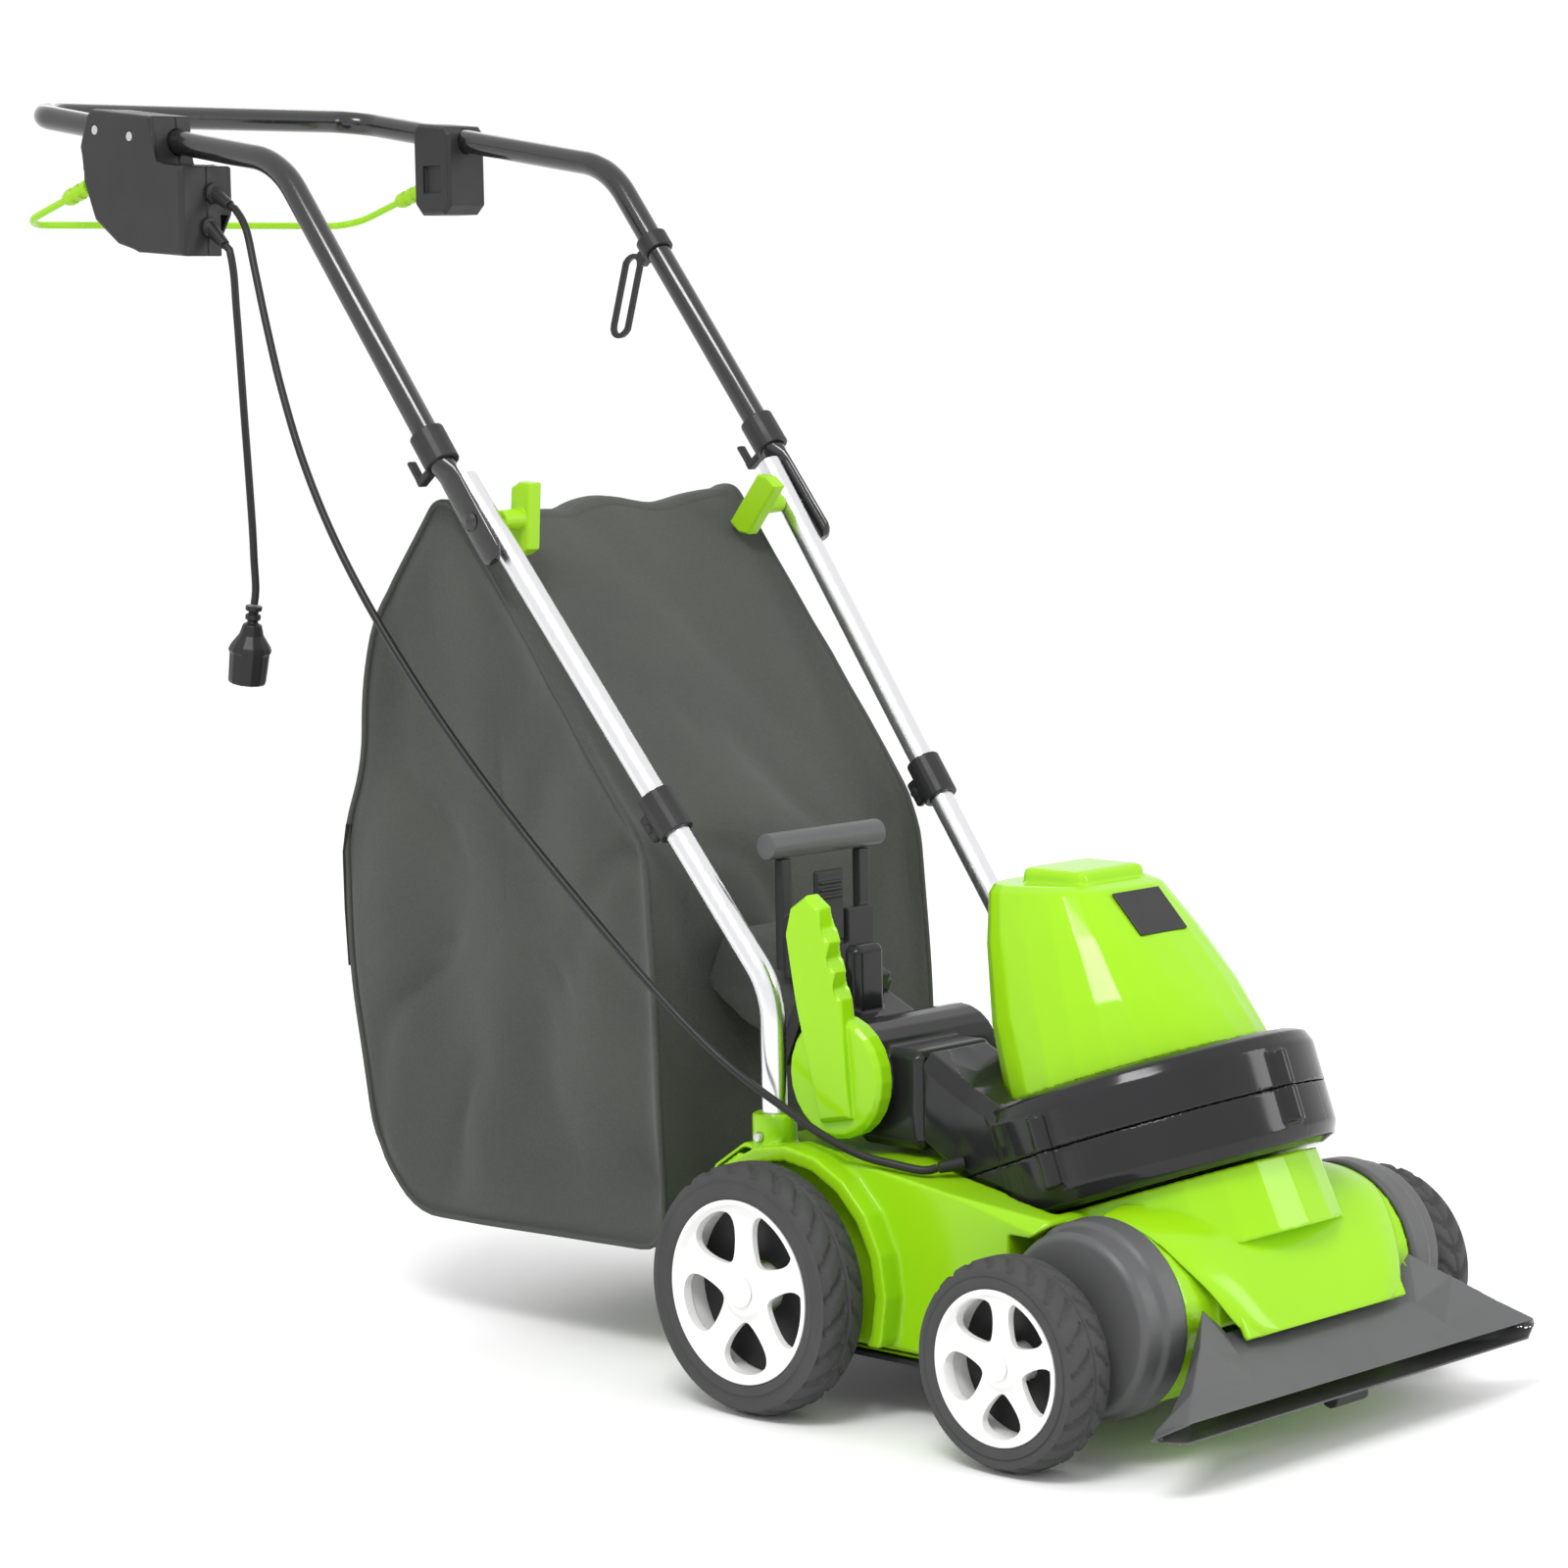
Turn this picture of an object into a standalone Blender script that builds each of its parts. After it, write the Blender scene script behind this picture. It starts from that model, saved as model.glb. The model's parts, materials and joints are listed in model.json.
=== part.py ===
"""Electric garden vacuum: wheeled base with nozzle, tilted fan, selector valve, bag and folding handle.

Units are metres, +Z is up, -Y is forward and -X is the operator's right. The origin is on the ground under
the middle of the machine's length. Each piece is one object with its own material.
"""

import math

import bmesh
import bpy
from mathutils import Matrix, Vector

# ---------------------------------------------------------------- driving dimensions
WHEEL_OUTER_X = 0.248  # outer faces of all four wheels
WHEEL_WIDTH = 0.046
REAR_AXLE = Vector((0, -0.2665, 0.100))
FRONT_AXLE = Vector((0, -0.5343, 0.0812))
AXLE_RADIUS = 0.006
GAP = 0.0003  # between pieces that touch
RUNNING_GAP = 0.0005  # between pieces that turn on each other
SHELL = 0.004  # wall of the moulded housings

TUBE_RADIUS = 0.0105  # silver lower tubes
BASE_HALF = 0.150  # half distance between the lower tubes at the sockets
SOCKET_Y = -0.216
SOCKET_TOP_Z = 0.224
TUBE_KNEE_Z = 0.322
PIVOT_HALF = 0.179  # half distance between the lower tubes at the fold pivot
PIVOT_Y, PIVOT_Z = 0.076, 0.695
TUBE_END = 0.044  # the silver tube ends this far past the pivot

HANDLE_RADIUS = 0.011  # black upper tube
HANDLE_WALL = 0.0011
HANDLE_FLAT = 0.004  # half thickness where the upper tube is pressed flat
HANDLE_HALF = 0.196
HANDLE_KNEE_Y, HANDLE_KNEE_Z = 0.317, 1.001
HANDLE_REAR_Y, HANDLE_REAR_Z = 0.676, 1.058

FAN_TILT = math.radians(20)  # the fan's axis leans back by this
FAN_CENTRE = Vector((0, -0.487, 0.221))
FAN_RADIUS = 0.138
FAN_HALF_HEIGHT = 0.046

VALVE_Y, VALVE_Z = -0.282, 0.259  # axis of the selector valve, along X
VALVE_RADIUS = 0.041
VALVE_X = (-0.134, 0.004)
DUCT_X = -0.052  # middle of the outlet duct and of the bag's mouth
DUCT_TILT = math.radians(25)
DUCT_HALF_WIDTH, DUCT_HALF_HEIGHT = 0.043, 0.028

BAG_HALF = 0.178
BAG_WALL = 0.003
CORD_RADIUS = 0.0034

# ---------------------------------------------------------------- helpers
for old in list(bpy.data.objects):
    bpy.data.objects.remove(old, do_unlink=True)

SCENE = bpy.context.scene
MATERIALS = {}


def material(name, colour, roughness, metallic=0.0):
    """A Principled BSDF material, made once for each name."""
    if name not in MATERIALS:
        made = bpy.data.materials.new(name)
        made.use_nodes = True
        shader = made.node_tree.nodes["Principled BSDF"]
        shader.inputs["Base Color"].default_value = (*colour, 1)
        shader.inputs["Roughness"].default_value = roughness
        shader.inputs["Metallic"].default_value = metallic
        made.diffuse_color = (*colour, 1)
        MATERIALS[name] = made
    return MATERIALS[name]


def green():
    return material("green_gloss", (0.40, 0.78, 0.03), 0.22)


def green_matte():
    return material("green_matte", (0.42, 0.72, 0.05), 0.5)


def black_gloss():
    return material("black_gloss", (0.03, 0.03, 0.032), 0.16)


def black_matte():
    return material("black_matte", (0.06, 0.06, 0.063), 0.6)


def grey_plastic():
    return material("grey_plastic", (0.16, 0.16, 0.165), 0.55)


def silver():
    return material("silver_tube", (0.80, 0.80, 0.82), 0.3, 0.9)


def black_paint():
    return material("black_paint", (0.02, 0.02, 0.022), 0.25, 0.3)


def steel():
    return material("steel", (0.62, 0.62, 0.63), 0.35, 1.0)


def rubber():
    return material("tyre_rubber", (0.07, 0.07, 0.07), 0.85)


def rim_white():
    return material("rim_white", (0.86, 0.86, 0.86), 0.3)


def fabric():
    return material("bag_fabric", (0.085, 0.09, 0.082), 0.9)


def object_from(bm, name, mat, smooth=30):
    """Turn a bmesh into a named object with outward faces and smooth round stretches."""
    bmesh.ops.recalc_face_normals(bm, faces=bm.faces)
    mesh = bpy.data.meshes.new(name)
    bm.to_mesh(mesh)
    bm.free()
    mesh.materials.append(mat)
    mesh.shade_smooth()
    mesh.set_sharp_from_angle(angle=math.radians(smooth))
    made = bpy.data.objects.new(name, mesh)
    SCENE.collection.objects.link(made)
    return made


def combine(target, tools, operation):
    """Join the tools to the target, or cut them from it, and remove them."""
    for tool in tools:
        step = target.modifiers.new(operation, "BOOLEAN")
        step.operation = operation
        step.solver = "EXACT"
        step.object = tool
    bpy.context.view_layer.update()
    graph = bpy.context.evaluated_depsgraph_get()
    result = bpy.data.meshes.new_from_object(target.evaluated_get(graph))
    result.name = target.name
    bm = bmesh.new()
    bm.from_mesh(result)
    bmesh.ops.remove_doubles(bm, verts=bm.verts, dist=2e-6)
    bmesh.ops.dissolve_degenerate(bm, edges=bm.edges, dist=2e-6)
    bm.to_mesh(result)
    bm.free()
    target.modifiers.clear()
    target.data = result
    for tool in tools:
        bpy.data.objects.remove(tool, do_unlink=True)
    target.data.shade_smooth()
    target.data.set_sharp_from_angle(angle=math.radians(30))
    return target


def join(target, *tools):
    return combine(target, tools, "UNION")


def cut(target, *tools):
    return combine(target, tools, "DIFFERENCE")


def keep_common(target, tool):
    return combine(target, [tool], "INTERSECT")


def copy_of(source, name):
    made = bpy.data.objects.new(name, source.data.copy())
    made.matrix_world = source.matrix_world
    SCENE.collection.objects.link(made)
    return made


def place(thing, matrix):
    thing.data.transform(matrix)
    return thing


def set_origin(thing, point):
    """Put the object's origin on a point, such as a joint's axis, and leave its shape where it is."""
    thing.data.transform(Matrix.Translation(-Vector(point)))
    thing.location = point
    return thing


def box(name, low, high, mat, bevel=0.0, steps=1):
    bm = bmesh.new()
    bmesh.ops.create_cube(bm, size=1)
    low, high = Vector(low), Vector(high)
    size, middle = high - low, (low + high) / 2
    for vert in bm.verts:
        vert.co = Vector(a * b for a, b in zip(vert.co, size)) + middle
    if bevel:
        bmesh.ops.bevel(bm, geom=bm.edges[:], offset=bevel, segments=steps, affect="EDGES", profile=0.5)
    return object_from(bm, name, mat)


def axis_matrix(start, direction, hint=Vector((1, 0, 0))):
    """A frame at start whose Z runs along direction and whose X is as near as can be to the hint."""
    z = Vector(direction).normalized()
    x = hint - z * hint.dot(z)
    if x.length < 1e-6:
        x = Vector((0, 1, 0)) - z * z.y
    x.normalize()
    y = z.cross(x)
    turn = Matrix((x, y, z)).transposed().to_4x4()
    return Matrix.Translation(Vector(start)) @ turn


def skin(name, rings, mat, closed=False):
    """A surface through rings of equally many points, capped at its ends unless it closes on itself."""
    bm = bmesh.new()
    made = [[bm.verts.new(point) for point in ring] for ring in rings]
    count = len(made[0])
    pairs = list(zip(made, made[1:]))
    if closed:
        pairs.append((made[-1], made[0]))
    for first, second in pairs:
        for i in range(count):
            j = (i + 1) % count
            bm.faces.new((first[i], first[j], second[j], second[i]))
    if not closed:
        bm.faces.new(list(reversed(made[0])))
        bm.faces.new(made[-1])
    return object_from(bm, name, mat)


def turned(name, profile, start, direction, sides, mat):
    """A solid turned about an axis through (radius, height) corners; a radius of 0 lies on the axis."""
    bm = bmesh.new()
    rings = []
    for radius, height in profile:
        if radius == 0:
            rings.append([bm.verts.new((0, 0, height))])
            continue
        angles = [2 * math.pi * i / sides for i in range(sides)]
        rings.append([bm.verts.new((radius * math.cos(a), radius * math.sin(a), height)) for a in angles])
    pairs = list(zip(rings, rings[1:]))
    if profile[0][0] > 0 and profile[-1][0] > 0:
        pairs.append((rings[-1], rings[0]))
    for first, second in pairs:
        for i in range(sides):
            j = (i + 1) % sides
            corners = [first[i % len(first)], first[j % len(first)], second[j % len(second)],
                       second[i % len(second)]]
            unique = list(dict.fromkeys(corners))
            if len(unique) > 2:
                bm.faces.new(unique)
    bmesh.ops.transform(bm, matrix=axis_matrix(start, direction), verts=bm.verts)
    return object_from(bm, name, mat)


def rod(name, start, end, radius, sides, mat, end_radius=None):
    length = (Vector(end) - Vector(start)).length
    last = radius if end_radius is None else end_radius
    return turned(name, [(0, 0), (radius, 0), (last, length), (0, length)], start,
                  Vector(end) - Vector(start), sides, mat)


def prism(name, outline, low_x, high_x, mat, bevel=0.0, steps=1):
    """An outline of (y, z) corners pulled out along X."""
    bm = bmesh.new()
    first = [bm.verts.new((low_x, y, z)) for y, z in outline]
    second = [bm.verts.new((high_x, y, z)) for y, z in outline]
    bm.faces.new(first)
    bm.faces.new(list(reversed(second)))
    for i in range(len(outline)):
        j = (i + 1) % len(outline)
        bm.faces.new((first[j], first[i], second[i], second[j]))
    if bevel:
        rims = [e for e in bm.edges if abs(e.verts[0].co.x - e.verts[1].co.x) < 1e-6]
        bmesh.ops.bevel(bm, geom=rims, offset=bevel, segments=steps, affect="EDGES", profile=0.5)
    return object_from(bm, name, mat)


def inset(outline, distance):
    """The outline moved inwards by a distance; its corners run anticlockwise or clockwise alike."""
    count = len(outline)
    area = sum(outline[i][0] * outline[(i + 1) % count][1] - outline[(i + 1) % count][0] * outline[i][1]
               for i in range(count))
    side = 1 if area > 0 else -1
    moved = []
    for i in range(count):
        before, here, after = (Vector(outline[k % count]) for k in (i - 1, i, i + 1))
        one, two = (here - before).normalized(), (after - here).normalized()
        n1, n2 = Vector((-one.y, one.x)) * side, Vector((-two.y, two.x)) * side
        middle = (n1 + n2).normalized()
        moved.append(tuple(here + middle * (distance / max(0.4, middle.dot(n1)))))
    return moved


def rounded_path(corners, radii, steps):
    """Points along straight runs joined by arcs at the inner corners."""
    points = [Vector(corners[0])]
    for i, radius in zip(range(1, len(corners) - 1), radii):
        before, here, after = (Vector(corners[k]) for k in (i - 1, i, i + 1))
        one, two = (before - here).normalized(), (after - here).normalized()
        half = one.angle(two) / 2
        reach = radius / math.tan(half)
        start, end = here + one * reach, here + two * reach
        centre = here + (one + two).normalized() * (radius / math.sin(half))
        first, last = start - centre, end - centre
        for k in range(steps + 1):
            share = k / steps
            points.append(centre + arc_between(first, last, share))
    points.append(Vector(corners[-1]))
    return points


def arc_between(first, last, share):
    """A vector turned from first to last by a share of the angle between them."""
    axis = first.cross(last).normalized()
    return Matrix.Rotation(first.angle(last) * share, 3, axis) @ first


def sweep(name, points, sections, mat, sides, across=Vector((1, 0, 0))):
    """A tube through points. sections gives each point's outer half sizes and its wall, or no wall."""
    frames, last = [], across
    for i, point in enumerate(points):
        before, after = points[max(i - 1, 0)], points[min(i + 1, len(points) - 1)]
        along = (after - before).normalized()
        u = (last - along * last.dot(along)).normalized()
        frames.append((point, u, along.cross(u)))
        last = u
    outer, inner = [], []
    for (point, u, v), (half_u, half_v, wall) in zip(frames, sections):
        turns = [2 * math.pi * k / sides for k in range(sides)]
        outer.append([point + u * half_u * math.cos(t) + v * half_v * math.sin(t) for t in turns])
        if wall:
            inner.append([point + u * (half_u - wall) * math.cos(t) + v * (half_v - wall) * math.sin(t)
                          for t in turns])
    if inner:
        return skin(name, outer + inner[::-1], mat, closed=True)
    return skin(name, outer, mat)


def smooth_route(route, spacing):
    """A smooth curve through the route's points, read at an even spacing."""
    dense = []
    for i in range(len(route) - 1):
        p0, p1 = Vector(route[max(i - 1, 0)]), Vector(route[i])
        p2, p3 = Vector(route[i + 1]), Vector(route[min(i + 2, len(route) - 1)])
        for k in range(20):
            t = k / 20
            dense.append(
                0.5 * ((2 * p1) + (p2 - p0) * t + (2 * p0 - 5 * p1 + 4 * p2 - p3) * t**2
                       + (3 * p1 - p0 - 3 * p2 + p3) * t**3)
            )
    dense.append(Vector(route[-1]))
    lengths = [0.0]
    for a, b in zip(dense, dense[1:]):
        lengths.append(lengths[-1] + (b - a).length)
    count = max(2, round(lengths[-1] / spacing))
    points, k = [], 0
    for i in range(count + 1):
        want = lengths[-1] * i / count
        while k < len(lengths) - 2 and lengths[k + 1] < want:
            k += 1
        share = (want - lengths[k]) / max(lengths[k + 1] - lengths[k], 1e-9)
        points.append(dense[k].lerp(dense[k + 1], share))
    return points


def cord(name, route, radius, mat):
    """A cable as a bevelled curve with filled caps."""
    curve = bpy.data.curves.new(name, "CURVE")
    curve.dimensions = "3D"
    curve.bevel_depth = radius
    curve.bevel_resolution = 2
    curve.use_fill_caps = True
    points = smooth_route(route, radius * 5.5)
    spline = curve.splines.new("POLY")
    spline.points.add(len(points) - 1)
    for slot, point in zip(spline.points, points):
        slot.co = (*point, 1)
    curve.materials.append(mat)
    made = bpy.data.objects.new(name, curve)
    SCENE.collection.objects.link(made)
    return made


def side_name(side):
    return "right" if side < 0 else "left"


# ---------------------------------------------------------------- wheels and axles
def wheel(name, side, axle, radius):
    """A tyre and a five-window rim, both with their origin on the axle at the wheel's middle."""
    scale = radius / 0.100
    inner_x = side * (WHEEL_OUTER_X - WHEEL_WIDTH)
    start = Vector((inner_x, axle.y, axle.z))
    outward = Vector((side, 0, 0))
    bead = 0.0735 * scale
    tyre = turned(
        "tyre_" + name,
        [
            (bead, 0.001), (radius - 0.006, 0.0), (radius, 0.007), (radius, WHEEL_WIDTH - 0.007),
            (radius - 0.006, WHEEL_WIDTH), (bead, WHEEL_WIDTH),
        ],
        start, outward, 24, rubber(),
    )
    edge, bore, disc = bead - GAP, AXLE_RADIUS + GAP, 0.034
    rim = turned(
        "rim_" + name,
        [
            (bore, 0.004), (0.018 * scale, 0.004), (0.019 * scale, disc - 0.005),
            (edge - 0.004, disc - 0.003),
            (edge - 0.004, 0.003), (edge, 0.003), (edge, 0.0455), (edge - 0.004, 0.0455),
            (edge - 0.008, disc + 0.005), (0.020 * scale, disc + 0.002), (bore, 0.0405),
        ],
        start, outward, 24, rim_white(),
    )
    windows = []
    for k in range(5):
        frame = axis_matrix(start, outward) @ Matrix.Rotation(math.radians(72 * k + 18), 4, "Z")
        outline = []
        for turn in range(6):
            t = 2 * math.pi * turn / 6
            along, across = 0.018 * math.cos(t), 0.0155 * math.sin(t)
            outline.append(Vector(((0.046 + along) * scale, across * (1 + along * 18) * scale, 0)))
        rings = [[frame @ (p + Vector((0, 0, h))) for p in outline] for h in (disc - 0.018, disc + 0.02)]
        windows.append(skin("window", rings, rim_white()))
    cut(rim, *windows)
    middle = Vector((side * (WHEEL_OUTER_X - WHEEL_WIDTH / 2), axle.y, axle.z))
    return [set_origin(tyre, middle), set_origin(rim, middle)]


def wheels():
    for side in (-1, 1):
        wheel("rear_" + side_name(side), side, REAR_AXLE, REAR_AXLE.z)
        wheel("front_" + side_name(side), side, FRONT_AXLE, FRONT_AXLE.z)
    half = WHEEL_OUTER_X - 0.006
    for name, axle in (("rear_axle", REAR_AXLE), ("front_axle", FRONT_AXLE)):
        rod(name, axle - Vector((half, 0, 0)), axle + Vector((half, 0, 0)), AXLE_RADIUS, 16, steel())


# ---------------------------------------------------------------- base
DECK_HALF = 0.172
DECK_OUTLINE = [
    (-0.150, 0.048), (-0.146, 0.120), (-0.158, 0.176), (-0.192, 0.198), (-0.345, 0.197), (-0.420, 0.187),
    (-0.515, 0.176), (-0.530, 0.160), (-0.530, 0.048),
]
HOOD_HALF = 0.108
HOOD_OUTLINE = [(-0.470, 0.060), (-0.470, 0.178), (-0.560, 0.182), (-0.606, 0.166), (-0.6325, 0.138),
                (-0.6325, 0.060)]
TONGUE_OUTLINE = [
    (-0.590, 0.173), (-0.606, 0.168), (-0.640, 0.130), (-0.657, 0.095), (-0.6535, 0.0925),
    (-0.636, 0.124),
    (-0.600, 0.160),
]
DRUM = Vector((0, -0.558, 0.106))  # axis of the drum-shaped front, ahead of the front axle
DRUM_HALF = 0.140
DRUM_RADIUS = 0.073
CAP_RADIUS = 0.0765


def fan_axis():
    return Vector((0, math.sin(FAN_TILT), math.cos(FAN_TILT)))


def fan_point(height):
    """A point on the fan's axis, at a height over the middle of its casing."""
    return FAN_CENTRE + fan_axis() * height


def base_housing():
    """The green deck: a shell with a hooded drum at its front, a foot for the fan and two tube sockets."""
    body = prism("base_housing", DECK_OUTLINE, -DECK_HALF, DECK_HALF, green(), 0.010)
    cap_rooms = []
    for s in (-1, 1):
        near, far = DRUM + Vector((s * DRUM_HALF, 0, 0)), DRUM + Vector((s * 0.2, 0, 0))
        cap_rooms.append(rod("cap_room", near, far, CAP_RADIUS + 0.0010, 24, green()))
    front = [box("front", (low, -0.60, 0.0), (high, -0.484, 0.163), green()) for low,
             high in ((-0.2, -DRUM_HALF), (DRUM_HALF, 0.2))]
    cut(body, *cap_rooms, *front)
    drum = rod("drum", DRUM - Vector((DRUM_HALF, 0, 0)), DRUM + Vector((DRUM_HALF, 0, 0)), DRUM_RADIUS,
               24, green())
    hood = prism("hood", HOOD_OUTLINE, -HOOD_HALF, HOOD_HALF, green(), 0.006)
    foot = rod("foot", fan_point(-FAN_HALF_HEIGHT - 0.060), fan_point(-FAN_HALF_HEIGHT - 0.0025), 0.124,
               24, green(), 0.118)
    arches = []
    for s in (-1, 1):
        low, high = sorted((s * 0.160, s * 0.1925))
        arch = turned(
            "arch", [(0.096, 0), (0.108, 0), (0.108, high - low), (0.096, high - low)],
            (low, REAR_AXLE.y, REAR_AXLE.z), (1, 0, 0), 20, green(),
        )
        below = box("below", (low - 0.01, REAR_AXLE.y - 0.2, -0.1),
                    (high + 0.01, REAR_AXLE.y + 0.2, 0.060), green())
        arches.append(cut(arch, below))
    join(body, drum, hood, foot, *arches)
    inside = DRUM_HALF - SHELL
    inner = prism("inner", inset(DECK_OUTLINE, SHELL), -inside, inside, green())
    rear = prism("rear", inset(DECK_OUTLINE, SHELL), -DECK_HALF + SHELL, DECK_HALF - SHELL, green())
    cut(rear, box("ahead", (-0.3, -0.70, 0.0), (0.3, -0.474, 0.3), green()))
    hood_room = prism("hood_room", inset(HOOD_OUTLINE, SHELL), -HOOD_HALF + SHELL, HOOD_HALF - SHELL,
                      green())
    drum_room = rod("drum_room", DRUM - Vector((inside, 0, 0)), DRUM + Vector((inside, 0, 0)),
                    DRUM_RADIUS - SHELL, 24, green())
    open_bottom = box("open_bottom", (-inside, -0.500, 0.020), (inside, -0.156, 0.070), green())
    join(inner, rear, hood_room, drum_room, open_bottom)
    kept = rod("kept", fan_point(-FAN_HALF_HEIGHT - 0.0065), fan_point(0.10), FAN_RADIUS + 0.0068, 24,
               green())
    cut(inner, kept, neck_skin("kept_neck", -0.0062, green()))
    pocket = rod("pocket", fan_point(-FAN_HALF_HEIGHT - 0.0025), fan_point(0.10), FAN_RADIUS + 0.0035, 24,
                 green())
    cut(body, inner, pocket, neck_skin("neck_room", -0.0020, green()))
    sockets = [
        rod("socket", (s * BASE_HALF, SOCKET_Y, 0.150), (s * BASE_HALF, SOCKET_Y, SOCKET_TOP_Z), 0.0185,
            16, green())
        for s in (-1, 1)
    ]
    tongue = prism("tongue", TONGUE_OUTLINE, -0.100, 0.100, green())
    join(body, tongue, *sockets)
    throat = rod("throat", fan_point(-FAN_HALF_HEIGHT - 0.04), fan_point(0.05), 0.052, 16, green())
    mouth = box("mouth", (-0.100, -0.645, 0.060), (0.100, -0.600, 0.100), green())
    bores = [
        rod("bore", (s * BASE_HALF, SOCKET_Y, 0.170), (s * BASE_HALF, SOCKET_Y, 0.30), TUBE_RADIUS + GAP,
            16, green())
        for s in (-1, 1)
    ]
    screws = [
        rod("screw_hole", (s * 0.120, SOCKET_Y, 0.206), (s * 0.190, SOCKET_Y, 0.206), 0.0023, 10,
            green()) for s in (-1, 1)
    ]
    axles = [rod("axle_hole", (-0.3, a.y, a.z), (0.3, a.y, a.z), AXLE_RADIUS + GAP, 14, green())
             for a in (REAR_AXLE, FRONT_AXLE)]
    return cut(body, throat, mouth, *bores, *screws, *axles)


def underside():
    """The plate that closes the deck from below."""
    half = DECK_HALF - SHELL - 0.001
    plate = box("underside_plate", (-half, -0.500, 0.0440), (half, -0.158, 0.0475), black_matte())
    ribs = [box("rib", (x - 0.002, -0.490, 0.0470), (x + 0.002, -0.170, 0.058), black_matte())
            for x in (-0.08, 0.08)]
    return join(plate, *ribs)


def drum_caps():
    """Grey cup-shaped end covers of the front drum, with the front axle through their faces."""
    for side in (-1, 1):
        start = DRUM + Vector((side * (DRUM_HALF + GAP), 0, 0))
        cap = turned(
            "drum_cap_" + side_name(side),
            [
                (0, 0.044), (0.066, 0.044), (0.070, 0.040), (0.0715, 0.026), (0.0755, 0.022),
                (CAP_RADIUS, 0.004),
                (0.0745, 0), (0.0710, 0), (0.0710, 0.020), (0.0660, 0.039), (0, 0.039),
            ],
            start, (side, 0, 0), 22, grey_plastic(),
        )
        near, far = start.x + side * 0.030, start.x + side * 0.060
        hole = rod("hole", (near, FRONT_AXLE.y, FRONT_AXLE.z), (far, FRONT_AXLE.y, FRONT_AXLE.z),
                   AXLE_RADIUS + GAP, 14, grey_plastic())
        cut(cap, hole)


# y, half width, top corners' half width and z, middle's half width and z, low z, tip z, tip back
NOZZLE_RINGS = [
    (-0.6365, 0.152, 0.128, 0.120, 0.100, 0.098, 0.044, 0.062, 0.000),
    (-0.6580, 0.190, 0.158, 0.099, 0.110, 0.085, 0.043, 0.056, 0.002),
    (-0.6780, 0.226, 0.192, 0.076, 0.120, 0.071, 0.0425, 0.051, 0.008),
    (-0.6940, 0.242, 0.216, 0.0605, 0.130, 0.0605, 0.0425, 0.049, 0.016),
]


def nozzle_ring(y, half, top_half, high, middle_half, middle_high, low, tip_z, back, wall):
    """One cross-section of the nozzle: tips between the lips, and a top that dips under the tongue."""
    corners = [
        (-half + 2.5 * wall, tip_z, back), (-top_half + wall, low + wall, 0.004),
        (top_half - wall, low + wall, 0.004),
        (half - 2.5 * wall, tip_z, back), (top_half - wall, high - wall, 0),
        (middle_half, middle_high - wall, 0),
        (-middle_half, middle_high - wall, 0), (-top_half + wall, high - wall, 0),
    ]
    return [Vector((x, y + behind, z)) for x, z, behind in corners]


def nozzle():
    """The flared grey suction nozzle, open from its mouth to the base."""
    wall = 0.002
    outer = [nozzle_ring(*row, 0.0) for row in NOZZLE_RINGS]
    inner = [nozzle_ring(*row, wall) for row in NOZZLE_RINGS]
    flare = skin("nozzle", outer + inner[::-1], grey_plastic(), closed=True)
    return split_alike(flare)


def split_alike(thing):
    """Splits each twisted quad from its wider rear corner to its narrower front one, on both skins alike."""
    bm = bmesh.new()
    bm.from_mesh(thing.data)
    for face in [f for f in bm.faces if len(f.verts) == 4]:
        a, b, c, d = face.verts
        first, second = ((abs(p.co.x) - abs(q.co.x)) * (p.co.y - q.co.y) for p, q in ((a, c), (b, d)))
        ends = (a, c) if first >= second else (b, d)
        bmesh.utils.face_split(face, *ends)
    bm.to_mesh(thing.data)
    bm.free()
    return thing


def nozzle_skid():
    return rod("nozzle_skid", (-0.010, -0.664, 0.0340), (0.030, -0.664, 0.0340), 0.0080, 12,
               black_matte())


# ---------------------------------------------------------------- fan unit
def fan_frame():
    return axis_matrix(FAN_CENTRE, fan_axis())


def fan_disc(name, radius, half_height, shoulder, mat):
    """The round body of the fan's casing, with rounded shoulders."""
    r, h, s = radius, half_height, shoulder
    profile = [(0, -h), (r - s, -h), (r - 0.3 * s, -h + 0.3 * s), (r, -h + s), (r, h - s),
               (r - 0.3 * s, h - 0.3 * s), (r - s, h), (0, h)]
    return turned(name, profile, FAN_CENTRE, fan_axis(), 26, mat)


NECK_ROUTE = [  # centre of each section, half width, half height, pitch of its plane in degrees
    (Vector((-0.078, -0.505, 0.226)), 0.050, 0.036, -20),
    (Vector((-0.080, -0.445, 0.212)), 0.050, 0.036, -12),
    (Vector((-0.080, -0.395, 0.222)), 0.045, 0.037, 8),
    (Vector((-0.080, -0.3525, 0.243)), 0.043, 0.039, 0),
]


def neck_skin(name, wall, mat, reach=0.0):
    """The outlet neck from the fan's rim back to the valve, as rounded rectangles."""
    rings = []
    for k, (centre, half_x, half_z, pitch) in enumerate(NECK_ROUTE):
        turn = Matrix.Rotation(math.radians(pitch), 3, "X")
        a, b, c = half_x - wall, half_z - wall, 0.010
        corners = [(a, b - c), (a - c, b), (c - a, b), (-a, b - c), (-a, c - b), (c - a, -b), (a - c, -b),
                   (a, c - b)]
        shift = Vector((0, reach if k == len(NECK_ROUTE) - 1 else 0, 0))
        rings.append([centre + shift + turn @ Vector((x, 0, z)) for x, z in corners])
    return skin(name, rings, mat)


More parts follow.
